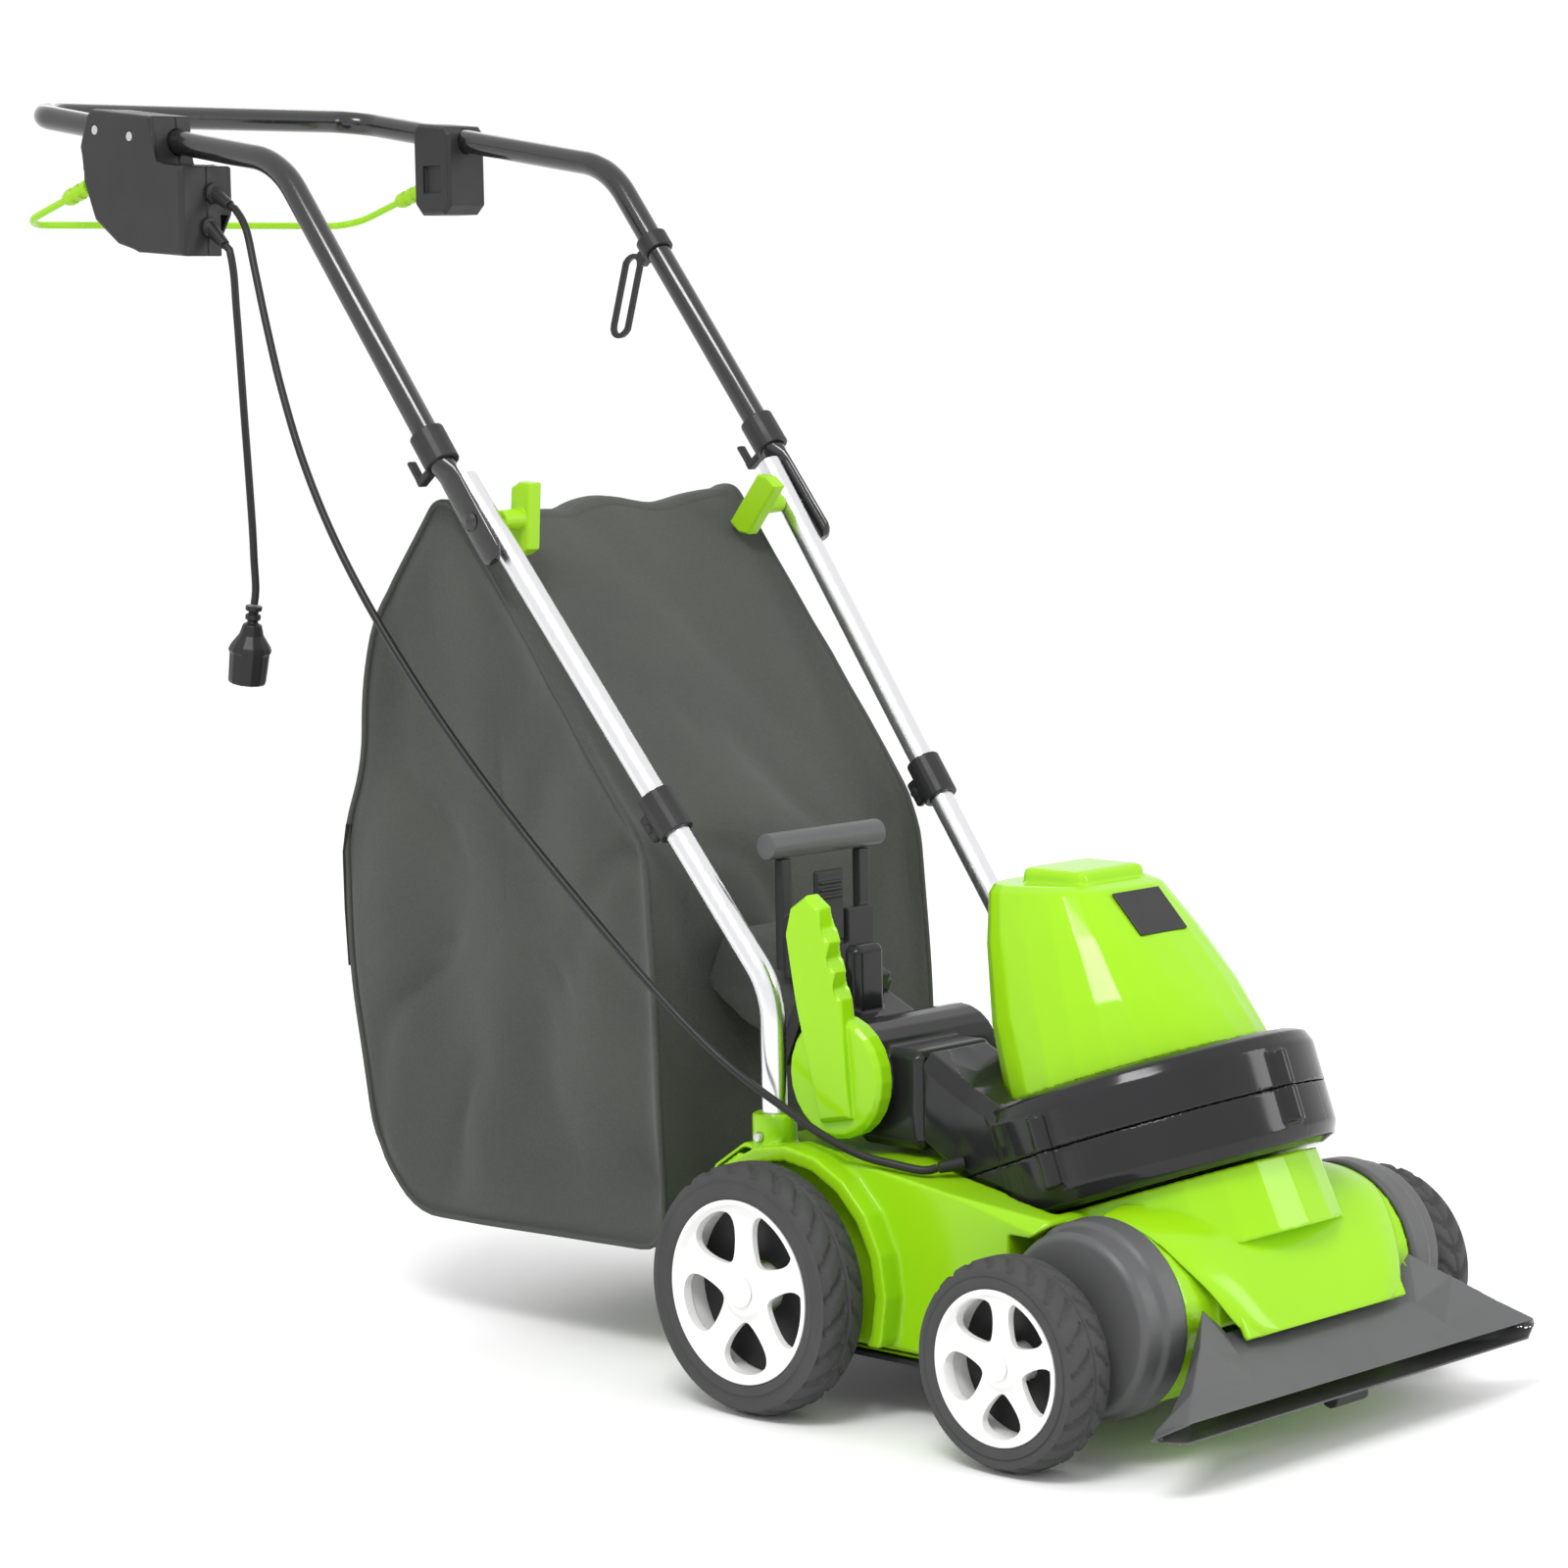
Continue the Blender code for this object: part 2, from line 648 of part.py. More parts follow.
def fan_casing():
    """The fan's scroll casing in two shells that meet at its middle plane."""
    outer = join(fan_disc("fan_casing_upper", FAN_RADIUS, FAN_HALF_HEIGHT, 0.014, black_gloss()),
                 neck_skin("neck", 0, black_gloss()))
    room = join(
        fan_disc("room", FAN_RADIUS - SHELL, FAN_HALF_HEIGHT - SHELL, 0.013, black_gloss()),
        neck_skin("neck_room", SHELL, black_gloss(), 0.01),
    )
    bosses = []
    for angle, half in ((-177, 0.028), (-91, 0.028), (5, 0.012)):
        turn = math.radians(angle)
        foot = fan_frame() @ Vector(((FAN_RADIUS + 0.001) * math.cos(turn),
                                     (FAN_RADIUS + 0.001) * math.sin(turn), 0))
        bosses.append(rod("boss", foot - fan_axis() * half, foot + fan_axis() * half, 0.009, 10,
                          black_gloss()))
    join(outer, *bosses)
    cut(room, cover_solid("hood_outside", -0.0055))
    cut(outer, cover_solid("hood_outside", -0.0015))
    cut(outer, room)
    inlet = rod("inlet", fan_point(-FAN_HALF_HEIGHT - 0.01), fan_point(-FAN_HALF_HEIGHT + 0.01), 0.055,
                24, black_gloss())
    shaft_hole = rod("shaft_hole", fan_point(FAN_HALF_HEIGHT - 0.01), fan_point(FAN_HALF_HEIGHT + 0.01),
                     0.0065, 16, black_gloss())
    cut(outer, inlet, shaft_hole)
    lower = copy_of(outer, "fan_casing_lower")
    frame = fan_frame()
    half = 0.30
    above = place(box("above", (-half, -half, 0.0), (half, half, half), black_gloss()), frame)
    below = place(box("below", (-half, -half, -half), (half, half, GAP), black_gloss()), frame)
    cut(lower, above)
    cut(outer, below)
    return outer, lower


def impeller():
    """A backplate with six blades and a hub, in the middle of the casing."""
    plate_height = 0.024
    wheel_disc = turned(
        "impeller",
        [(0.0053, plate_height - 0.020), (0.018, plate_height - 0.020), (0.022, plate_height),
         (0.104, plate_height), (0.104, plate_height + 0.003), (0.0053, plate_height + 0.003)],
        FAN_CENTRE, fan_axis(), 24, black_matte(),
    )
    blades = []
    for k in range(6):
        blade = box("blade", (0.020, -0.0015, plate_height - 0.040),
                    (0.102, 0.0015, plate_height + 0.001), black_matte())
        blades.append(place(blade, fan_frame() @ Matrix.Rotation(2 * math.pi * k / 6, 4, "Z")))
    join(wheel_disc, *blades)
    set_origin(wheel_disc, FAN_CENTRE)
    shaft = rod("motor_shaft", fan_point(0.006), fan_point(0.070), 0.005, 14, steel())
    set_origin(shaft, FAN_CENTRE)


def motor():
    """The motor's can over the fan, with a blind bore for the shaft."""
    foot = FAN_HALF_HEIGHT + GAP
    can = turned(
        "motor", [(0.0065, foot), (0.050, foot), (0.050, foot + 0.012), (0.044, foot + 0.014),
                  (0.044, 0.158), (0.034, 0.165), (0, 0.165), (0, 0.075), (0.0065, 0.075)],
        FAN_CENTRE, fan_axis(), 20, steel(),
    )
    return can


COVER_BASE = 0.107
COVER_TOP = Vector((0, -0.404, 0.416))
COVER_TOP_HALF = (0.062, 0.053)


def cover_ring(share, wall):
    """One level of the motor cover: round and tilted at the foot, squarer and level at the top."""
    sides = 24
    foot = fan_point(FAN_HALF_HEIGHT + GAP + 0.0002)
    lift = share
    centre = foot.lerp(COVER_TOP - Vector((0, 0, wall)), lift)
    tilt = FAN_TILT * (1 - min(1.0, share * 1.0)) + math.radians(2) * share
    power = 2 + 1.2 * share
    bulge = 0.004 * math.sin(math.pi * share)
    half_x = COVER_BASE + (COVER_TOP_HALF[0] - COVER_BASE) * share + bulge - wall
    half_y = COVER_BASE + (COVER_TOP_HALF[1] - COVER_BASE) * share + bulge - wall
    turn = Matrix.Rotation(-tilt, 3, "X")
    points = []
    for k in range(sides):
        t = 2 * math.pi * k / sides
        c, s = math.cos(t), math.sin(t)
        x = half_x * math.copysign(abs(c) ** (2 / power), c)
        y = half_y * math.copysign(abs(s) ** (2 / power), s)
        points.append(centre + turn @ Vector((x, y, 0)))
    return points


def cover_solid(name, wall):
    """The motor cover's outer shape as a solid, grown when the wall is negative."""
    return skin(name, [cover_ring(level, wall) for level in (-0.01, 0.35, 0.7, 0.94)], green())


def motor_cover():
    """The green hood over the motor, open below, with a raised ridge, a badge recess and rear vents."""
    levels = (0, 0.35, 0.7, 0.94, 1.0)
    outer = [cover_ring(level, 0.004 if level == 1.0 else 0) for level in levels]
    inner = [cover_ring(level * 0.97, SHELL) for level in (0, 0.35, 0.7, 0.96)]
    rings = outer[::-1] + inner
    hood = skin("motor_cover", rings, green())
    ridge = box("ridge", (-0.040, -0.448, 0.400), (0.040, -0.385, 0.424), green(), 0.006, 2)
    join(hood, ridge)
    badge_frame = Matrix.Translation((0, -0.4840, 0.3925)) @ Matrix.Rotation(math.radians(-44), 4, "X")
    recess = box("recess", (-0.0283, -0.02, -0.0213), (0.0283, 0.0018, 0.0213), green())
    cut(hood, place(recess, badge_frame))
    vents = [box("vent", (x - 0.003, -0.380, 0.330), (x + 0.003, -0.300, 0.375), green())
             for x in (-0.03, -0.015, 0, 0.015, 0.03)]
    cut(hood, *vents)
    plate = box("cover_badge", (-0.028, -0.0008, -0.021), (0.028, 0.0015, 0.021), black_matte(), 0.0006)
    return hood, place(plate, badge_frame)


# ---------------------------------------------------------------- selector valve and outlet duct
def duct_direction():
    return Vector((0, math.cos(DUCT_TILT), math.sin(DUCT_TILT)))


DUCT_START = Vector((DUCT_X, -0.262, 0.251))
DUCT_LENGTH = 0.072


def duct_matrix():
    """The outlet duct's own frame: Y along its slope, Z square to it."""
    return Matrix.Translation(DUCT_START) @ Matrix.Rotation(DUCT_TILT, 4, "X")


def duct_box(name, start, end, half_x, half_z, mat, top=None):
    """A box along the outlet duct's slope between two distances from its start."""
    high = half_z if top is None else top
    return place(box(name, (-half_x, start, -half_z), (half_x, end, high), mat), duct_matrix())


def valve_housing():
    """The valve's cylinder with its square inlet, and the outlet duct that rises to the bag."""
    low, high = VALVE_X
    body = rod("valve_housing", (low, VALVE_Y, VALVE_Z), (high, VALVE_Y, VALVE_Z), VALVE_RADIUS, 24,
               black_gloss())
    flange_y = NECK_ROUTE[-1][0].y + GAP
    inlet = box("inlet", (-0.1245, flange_y, 0.203), (-0.0355, VALVE_Y, 0.283), black_gloss(), 0.006)
    duct = duct_box("duct", 0.0, DUCT_LENGTH, DUCT_HALF_WIDTH, DUCT_HALF_HEIGHT, black_gloss())
    catch = box("catch", (DUCT_X - 0.017, -0.2340, 0.292), (DUCT_X + 0.017, -0.2155, 0.350),
                black_gloss(), 0.005)
    join(body, inlet, duct, catch)
    room = rod("room", (low + SHELL, VALVE_Y, VALVE_Z), (high - SHELL, VALVE_Y, VALVE_Z),
               VALVE_RADIUS - SHELL, 24, black_gloss())
    inlet_room = box("inlet_room", (-0.1185, flange_y - 0.01, 0.209), (-0.0415, VALVE_Y, 0.277),
                     black_gloss())
    duct_room = duct_box("duct_room", 0.0, DUCT_LENGTH + 0.01, DUCT_HALF_WIDTH - SHELL,
                         DUCT_HALF_HEIGHT - SHELL, black_gloss())
    join(room, inlet_room, duct_room)
    shaft_hole = rod("shaft_hole", (low - 0.01, VALVE_Y, VALVE_Z), (low + 0.01, VALVE_Y, VALVE_Z), 0.0065,
                     14, black_gloss())
    blow_port = prism(
        "blow_port",
        [(VALVE_Y + 0.028 * math.cos(t), VALVE_Z + 0.028 * math.sin(t))
         for t in [math.radians(-175 + 17 * k) for k in range(11)]],
        high - 0.010, high + 0.010, black_gloss(),
    )
    return cut(body, room, shaft_hole, blow_port)


def selector():
    """The green lever outside the valve and the rotor inside it, on one shaft along X."""
    low, high = VALVE_X
    axis = Vector((0, VALVE_Y, VALVE_Z))
    disc_low = low - RUNNING_GAP - 0.0165
    disc = turned(
        "selector_lever", [(0, 0), (0.046, 0.0), (0.0500, 0.004), (0.0500, 0.0165), (0.0, 0.0165)],
        (disc_low, VALVE_Y, VALVE_Z), (1, 0, 0), 24, green(),
    )
    lean = math.radians(-11)
    outline = [
        (-0.016, -0.034), (-0.020, 0.000), (-0.026, 0.060), (-0.018, 0.070), (-0.024, 0.082),
        (-0.016, 0.094), (-0.023, 0.106),
        (-0.015, 0.118), (-0.018, 0.134), (-0.006, 0.146), (0.014, 0.138), (0.024, 0.118), (0.022, 0.060),
        (0.018, -0.034),
    ]
    handle = prism("handle", [(y, z) for y, z in outline], disc_low - 0.006, disc_low + 0.0125, green(),
                   0.003)
    place(handle, Matrix.Translation(axis) @ Matrix.Rotation(lean, 4, "X"))
    join(disc, handle)
    bore = rod("bore", (disc_low + 0.006, VALVE_Y, VALVE_Z), (disc_low + 0.03, VALVE_Y, VALVE_Z), 0.0062,
               14, green())
    cut(disc, bore)
    set_origin(disc, axis)
    shaft = rod("valve_rotor", (disc_low + 0.0065, VALVE_Y, VALVE_Z),
                (high - SHELL - 0.0015, VALVE_Y, VALVE_Z), 0.0058, 14, black_matte())
    radius = VALVE_RADIUS - SHELL - RUNNING_GAP * 2
    plate = prism(
        "plate",
        [(VALVE_Y + radius * math.cos(t), VALVE_Z + radius * math.sin(t))
         for t in [math.radians(-180 + 180 * k / 14) for k in range(15)]],
        high - SHELL - 0.0045, high - SHELL - 0.0015, black_matte(),
    )
    arc = [math.radians(-105 + 12.5 * k) for k in range(9)]
    outer = [(VALVE_Y + radius * math.cos(t), VALVE_Z + radius * math.sin(t)) for t in arc]
    inner = [(VALVE_Y + (radius - 0.003) * math.cos(t), VALVE_Z + (radius - 0.003) * math.sin(t))
             for t in reversed(arc)]
    shell = prism("shell", outer + inner, low + SHELL + 0.001, high - SHELL - 0.003, black_matte())
    web = box("web", (low + SHELL + 0.001, VALVE_Y - 0.0015, VALVE_Z - radius + 0.001),
              (high - SHELL - 0.003, VALVE_Y + 0.0015, VALVE_Z), black_matte())
    join(shaft, plate, shell, web)
    set_origin(shaft, axis)


# ---------------------------------------------------------------- lower tubes
def knee(side):
    return Vector((side * BASE_HALF, SOCKET_Y, TUBE_KNEE_Z))


def pivot(side):
    return Vector((side * PIVOT_HALF, PIVOT_Y, PIVOT_Z))


def leg_frame(side):
    """A frame on the lower tube's axis at the pivot: Z runs up the tube, X across, Y to the rear of it."""
    return axis_matrix(pivot(side), pivot(side) - knee(side))


def leg_length(side):
    return (pivot(side) - knee(side)).length


def lower_tube(side):
    """A silver tube: upright in its socket, then bent back and out to the fold pivot."""
    top = leg_frame(side) @ Vector((0, 0, TUBE_END))
    points = rounded_path([(side * BASE_HALF, SOCKET_Y, 0.1712), knee(side), top], [0.075], 4)
    tube = sweep("lower_tube_" + side_name(side), points,
                 [(TUBE_RADIUS, TUBE_RADIUS, 0.0013)] * len(points), silver(), 10)
    hole = rod("hole", pivot(side) - Vector((0.03, 0, 0)), pivot(side) + Vector((0.03, 0, 0)), 0.0034, 12,
               silver())
    screw_hole = rod("hole", (side * 0.12, SOCKET_Y, 0.206), (side * 0.19, SOCKET_Y, 0.206), 0.0023, 10,
                     silver())
    return cut(tube, hole, screw_hole)


def socket_screw(side):
    """The small pan-head screw that holds a lower tube in its socket."""
    return turned(
        "socket_screw_" + side_name(side),
        [(0, 0.0), (0.002, 0.0), (0.002, 0.0355), (0.0045, 0.0355), (0.0035, 0.0385), (0, 0.039)],
        (side * (BASE_HALF - 0.0168), SOCKET_Y, 0.206), (side, 0, 0), 12, steel(),
    )


CLIP_STATION = 0.1745  # along the tube from its knee


def bag_clip(side):
    """A saddle clip on a lower tube with a tab at its rear, where a corner of the bag is held."""
    frame = leg_frame(side) @ Matrix.Translation((0, 0, CLIP_STATION - leg_length(side)))
    inner, outer, half = TUBE_RADIUS + GAP, 0.0150, 0.019
    ring = turned("bag_clip_" + side_name(side),
                  [(inner, -half), (outer, -half), (outer, half), (inner, half)], (0, 0, 0), (0, 0, 1),
                  20, black_matte())
    tab = box("tab", (-0.004, outer - 0.002, -0.012), (0.004, 0.027, 0.012), black_matte(), 0.002)
    tab_screw = rod("screw", (-0.0055, 0.0215, 0.0), (0.0055, 0.0215, 0.0), 0.004, 10, black_matte())
    join(ring, tab, tab_screw)
    return place(ring, frame)


# ---------------------------------------------------------------- folding upper handle
HANDLE_OFFSET = TUBE_RADIUS + GAP + HANDLE_FLAT + 0.0034  # from the lower tube's axis out to the upper's


def upper_pivot(side):
    return Vector((side * (PIVOT_HALF + HANDLE_OFFSET), PIVOT_Y, PIVOT_Z))


def upper_frame(side):
    """The upper leg's frame at the pivot: Z up the leg, X across, Y to the rear of it."""
    top = Vector((side * HANDLE_HALF, HANDLE_KNEE_Y, HANDLE_KNEE_Z))
    return axis_matrix(upper_pivot(side), top - upper_pivot(side))


FLAT_STATIONS = [(-0.041, 0.008), (-0.037, 0.0118), (-0.020, 0.0125), (0.0, 0.0125), (0.020, 0.0125),
                 (0.050, 0.0125)]


def upper_tube():
    """The black U-shaped tube, pressed flat at its two lower ends where it is bolted on."""
    flat, last = [], []
    for side, rows in ((-1, flat), (1, last)):
        for station, half in FLAT_STATIONS:
            rows.append((upper_frame(side) @ Vector((0, 0, station)), half))
    start, end = upper_frame(-1) @ Vector((0, 0, 0.058)), upper_frame(1) @ Vector((0, 0, 0.058))
    corners = [start]
    corners += [Vector((-HANDLE_HALF, HANDLE_KNEE_Y, HANDLE_KNEE_Z)),
                Vector((-HANDLE_HALF, HANDLE_REAR_Y, HANDLE_REAR_Z))]
    corners += [Vector((HANDLE_HALF, HANDLE_REAR_Y, HANDLE_REAR_Z)),
                Vector((HANDLE_HALF, HANDLE_KNEE_Y, HANDLE_KNEE_Z)), end]
    middle = rounded_path(corners, [0.085, 0.038, 0.038, 0.085], 4)
    round_size = (HANDLE_RADIUS, HANDLE_RADIUS, HANDLE_WALL)
    points = [p for p, _ in flat] + middle + [p for p, _ in reversed(last)]
    sizes = [(HANDLE_FLAT, half, HANDLE_WALL) for _, half in flat] + [round_size] * len(middle)
    sizes += [(HANDLE_FLAT, half, HANDLE_WALL) for _, half in reversed(last)]
    tube = sweep("upper_tube", points, sizes, black_paint(), 10)
    holes = [rod("hole", upper_pivot(s) - Vector((0.02, 0, 0)), upper_pivot(s) + Vector((0.02, 0, 0)),
                 0.0034, 12, black_paint()) for s in (-1, 1)]
    holes += [rod("screw_hole", (-0.230, y, z), (-0.170, y, z), 0.0022, 8, black_paint()) for y,
              z in SADDLE_SCREWS]
    cut(tube, *holes)
    return set_origin(tube, (0, PIVOT_Y, PIVOT_Z))


def handle_collar(side):
    """The moulded sleeve above the joint, with the hook that the bag hangs from."""
    inner, outer = HANDLE_RADIUS + GAP, 0.0155
    ring = turned("handle_collar_" + side_name(side),
                  [(inner, 0.060), (outer, 0.060), (outer, 0.092), (inner, 0.092)], (0, 0, 0), (0, 0, 1),
                  20, black_matte())
    arm = box("arm", (-0.0045, outer - 0.002, 0.061), (0.0045, 0.033, 0.067), black_matte())
    finger = box("finger", (-0.0045, 0.029, 0.061), (0.0045, 0.033, 0.086), black_matte(), 0.001)
    join(ring, arm, finger)
    place(ring, upper_frame(side))
    return set_origin(ring, (0, PIVOT_Y, PIVOT_Z))


def coach_bolt(side):
    """The domed bolt through both tubes at the fold pivot."""
    head = HANDLE_OFFSET + HANDLE_FLAT + GAP
    tip = 0.152 - PIVOT_HALF
    return turned(
        "coach_bolt_" + side_name(side),
        [(0, tip), (0.003, tip), (0.003, head), (0.0085, head), (0.0065, head + 0.003),
         (0, head + 0.0045)],
        pivot(side), (side, 0, 0), 14, black_paint(),
    )


def wing_nut(side, lean):
    """A ribbed green clamping nut on the inner side of a lower tube."""
    outer_face, plate_low, plate_high = PIVOT_HALF - TUBE_RADIUS - 0.0013, 0.132, 0.146
    half_long, half_wide = 0.031, 0.012
    outline = [
        (-half_wide, -half_long + 0.006), (-half_wide + 0.010, -half_long), (half_wide, -half_long),
        (half_wide, half_long - 0.006), (half_wide - 0.010, half_long), (-half_wide, half_long),
    ]
    low, high = sorted((side * plate_low, side * plate_high))
    plate = prism("wing_nut_" + side_name(side), outline, low, high, green_matte(), 0.0015)
    place(plate, Matrix.Translation((0, PIVOT_Y, PIVOT_Z)) @ Matrix.Rotation(lean, 4, "X"))
    hub = rod("hub", (side * (plate_high - 0.002), PIVOT_Y, PIVOT_Z),
              (side * outer_face, PIVOT_Y, PIVOT_Z), 0.0095, 16, green_matte(), 0.0080)
    join(plate, hub)
    bore = rod("bore", (side * 0.1485, PIVOT_Y, PIVOT_Z), (side * 0.18, PIVOT_Y, PIVOT_Z), 0.0034, 12,
               green_matte())
    cut(plate, bore)
    return set_origin(plate, (side * (plate_low + plate_high) / 2, PIVOT_Y, PIVOT_Z))


RETAINER_STATION = 0.2960  # along the far upper leg from the pivot


def cord_retainer():
    """A ring clip on the far upper leg with a hanging loop for the extension lead."""
    inner, outer, half = HANDLE_RADIUS + GAP, 0.0150, 0.008
    ring = turned("cord_retainer", [(inner, -half), (outer, -half), (outer, half), (inner, half)],
                  (0, 0, 0), (0, 0, 1), 20, black_matte())
    place(ring, upper_frame(1) @ Matrix.Translation((0, 0, RETAINER_STATION)))
    foot = upper_frame(1) @ Vector((0, outer + 0.006, RETAINER_STATION))
    arm = box("arm", (-0.005, 0.0125, -0.006), (0.005, 0.024, 0.006), black_matte())
    place(arm, upper_frame(1) @ Matrix.Translation((0, 0, RETAINER_STATION)))
    half_wide, top, bottom, thick = 0.0125, foot.z + 0.006, foot.z - 0.072, 0.0055
    loop = []
    for k in range(16):
        t = 2 * math.pi * k / 16
        end = top - half_wide if math.sin(t) > 0 else bottom + half_wide
        loop.append((half_wide * math.cos(t), end + half_wide * math.sin(t)))
    slope = 0.30  # the loop leans back as it hangs
    outline = [(foot.y + 0.010 + a + (top - b) * slope, b) for a, b in loop]
    link = prism("link", outline, foot.x - thick / 2, foot.x + thick / 2, black_matte())
    hole = prism("hole", inset(outline, 0.0045), foot.x - thick, foot.x + thick, black_matte())
    cut(link, hole)
    join(ring, arm, link)
    return set_origin(ring, (0, PIVOT_Y, PIVOT_Z))


# ---------------------------------------------------------------- switch box, bracket and bail
BOX_X = (-0.225, -0.167)
BOX_SPLIT = -0.1965
BOX_OUTLINE = [
    (0.418, 0.922), (0.481, 0.927), (0.513, 0.935), (0.545, 0.957), (0.557, 0.991), (0.564, 1.023),
    (0.554, 1.050),
    (0.546, 1.056), (0.459, 1.046), (0.455, 1.003), (0.418, 1.001),
]
BOX_ROOM = [(0.4215, 0.9265), (0.480, 0.9310), (0.510, 0.9385), (0.540, 0.9590), (0.549, 0.985),
            (0.549, 0.998), (0.4215, 0.997)]
BAIL_X = 0.199
BAIL_PIVOT = Vector((0, 0.545, 1.000))
BAIL_REAR_Y, BAIL_REAR_Z = 0.6905, 0.957
BAIL_RADIUS = 0.0035


def rear_run():
    """A point and the direction of the upper tube's nearly level rear run."""
    start = Vector((0, HANDLE_KNEE_Y, HANDLE_KNEE_Z))
    return start, (Vector((0, HANDLE_REAR_Y, HANDLE_REAR_Z)) - start).normalized()


def run_bore(side):
    """A cutter for the hole that the upper tube's rear run passes through."""
    start, direction = rear_run()
    start = start + Vector((side * HANDLE_HALF, 0, 0))
    return rod("run_bore", start + direction * 0.05, start + direction * 0.30, HANDLE_RADIUS + GAP, 20,
               black_matte())


def bail_slot(side):
    low, high = sorted((side * (BAIL_X - 0.0115), side * (BAIL_X + 0.0115)))
    return box("slot", (low, BAIL_PIVOT.y - 0.012, BAIL_PIVOT.z - 0.030),
               (high, BAIL_PIVOT.y + 0.060, BAIL_PIVOT.z + 0.017), black_matte())


LOCK_BUTTON = (0.500, 0.968)  # y, z
SADDLE_SCREWS = [(0.540, 1.0370), (0.490, 1.0292)]  # y, z


def switch_box():
    """The switch box in two shells that clamp the near side of the upper tube."""
    whole = prism("switch_box_outer", BOX_OUTLINE, BOX_X[0], BOX_X[1], black_matte(), 0.004, 2)
    room = prism("room", BOX_ROOM, BOX_X[0] + 0.0035, BOX_X[1] - 0.0035, black_matte())
    screws = [rod("screw_hole", (BOX_X[0] - 0.01, y, z), (BOX_X[1] + 0.01, y, z), 0.0022, 10,
                  black_matte()) for y, z in SADDLE_SCREWS]
    heads = [rod("head_room", (BOX_X[0] - 0.01, y, z), (BOX_X[0] + 0.0035, y, z), 0.0048, 14,
                 black_matte()) for y, z in SADDLE_SCREWS]
    button = rod("button_hole", (BOX_X[1] - 0.006, *LOCK_BUTTON), (BOX_X[1] + 0.01, *LOCK_BUTTON), 0.0095,
                 20, black_matte())
    cut(whole, room, run_bore(-1), bail_slot(-1), button, *screws, *heads)
    inner = copy_of(whole, "switch_box_inner")
    cut(whole, box("inner_side", (BOX_SPLIT - GAP / 2, 0.3, 0.8), (0, 0.7, 1.2), black_matte()))
    cut(inner, box("outer_side", (-0.3, 0.3, 0.8), (BOX_SPLIT + GAP / 2, 0.7, 1.2), black_matte()))
    beside_saddle = box("beside_saddle", (-0.1805, 0.3, 1.004), (0, 0.7, 1.2), black_matte())
    corner = [(0.40, 0.90), (0.40, 0.962), (0.4185, 0.962), (0.446, 0.9225), (0.446, 0.90)]
    low_corner = prism("low_corner", corner, -0.1815, -0.1, black_matte())
    cut(inner, beside_saddle, low_corner)
    return whole, inner


def saddle_screws():
    """The two silver screws that clamp the switch box on the tube; they run through the tube."""
    made = []
    for number, (y, z) in enumerate(SADDLE_SCREWS, 1):
        head = BOX_X[0] + 0.0035 - GAP
        screw = turned(
            f"saddle_screw_{number}",
            [(0, 0.0), (0.0043, 0.0), (0.0043, 0.003), (0.0018, 0.003), (0.0018, 0.050), (0, 0.050)],
            (head - 0.003, y, z), (1, 0, 0), 14, steel(),
        )
        made.append(screw)
    return made


def switch_unit():
    return box("switch_unit", (-0.213, 0.440, 0.936), (-0.182, 0.476, 0.958), black_matte(), 0.001)


def lock_button():
    """The round lock-off button on the box's inner face, pressed outwards."""
    low, high = BOX_X[1] - 0.0075, BOX_X[1] + 0.0055
    button = turned("lock_button",
                    [(0, 0), (0.009, 0), (0.009, high - low - 0.002), (0.0075, high - low),
                     (0, high - low)], (low, *LOCK_BUTTON), (1, 0, 0), 20, green_matte())
    return set_origin(button, ((low + high) / 2, *LOCK_BUTTON))


def bail_bracket():
    """The bracket on the far side of the upper tube that carries the bail's other end."""
    outline = [(0.514, 0.972), (0.524, 0.963), (0.556, 0.963), (0.566, 0.974), (0.566, 1.044),
               (0.560, 1.051), (0.520, 1.047), (0.514, 1.040)]
    block = prism("bail_bracket", outline, 0.172, 0.219, black_matte(), 0.003)
    recess = box("recess", (0.170, 0.526, 0.984), (0.176, 0.552, 1.010), black_matte())
    return cut(block, run_bore(1), bail_slot(1), recess)


def bail():
    """The green switch bail: a rod bent to a U with a round hub at each end, on the pivot axis."""
    ends = [Vector((s * BAIL_X, BAIL_PIVOT.y, BAIL_PIVOT.z)) for s in (-1, 1)]
    rears = [Vector((s * BAIL_X, BAIL_REAR_Y, BAIL_REAR_Z)) for s in (-1, 1)]
    points = rounded_path([ends[0], rears[0], rears[1], ends[1]], [0.028, 0.028], 6)
    wire = sweep("bail", points, [(BAIL_RADIUS, BAIL_RADIUS, 0)] * len(points), green_matte(), 10)
    hubs = [rod("hub", e - Vector((0.009, 0, 0)), e + Vector((0.009, 0, 0)), 0.009, 16, green_matte())
            for e in ends]
    join(wire, *hubs)
    return set_origin(wire, BAIL_PIVOT)


def bail_sleeve(side):
    """A ribbed sleeve on the bail's arm."""
    start = Vector((side * BAIL_X, BAIL_PIVOT.y, BAIL_PIVOT.z))
    direction = Vector((0, BAIL_REAR_Y, BAIL_REAR_Z)) - BAIL_PIVOT
    inner, profile = BAIL_RADIUS + GAP, []
    first, ribs, pitch = 0.040, 3, 0.0125
    for k in range(ribs):
        h = first + k * pitch
        profile += [(0.0078, h), (0.0078, h + pitch * 0.6), (0.0062, h + pitch * 0.7),
                    (0.0062, h + pitch * 0.95)]
    profile = [(inner, first)] + profile + [(0.0050, first + ribs * pitch), (inner, first + ribs * pitch)]
    sleeve = turned("bail_sleeve_" + side_name(side), profile, start, direction, 10, green_matte())
    return set_origin(sleeve, BAIL_PIVOT)


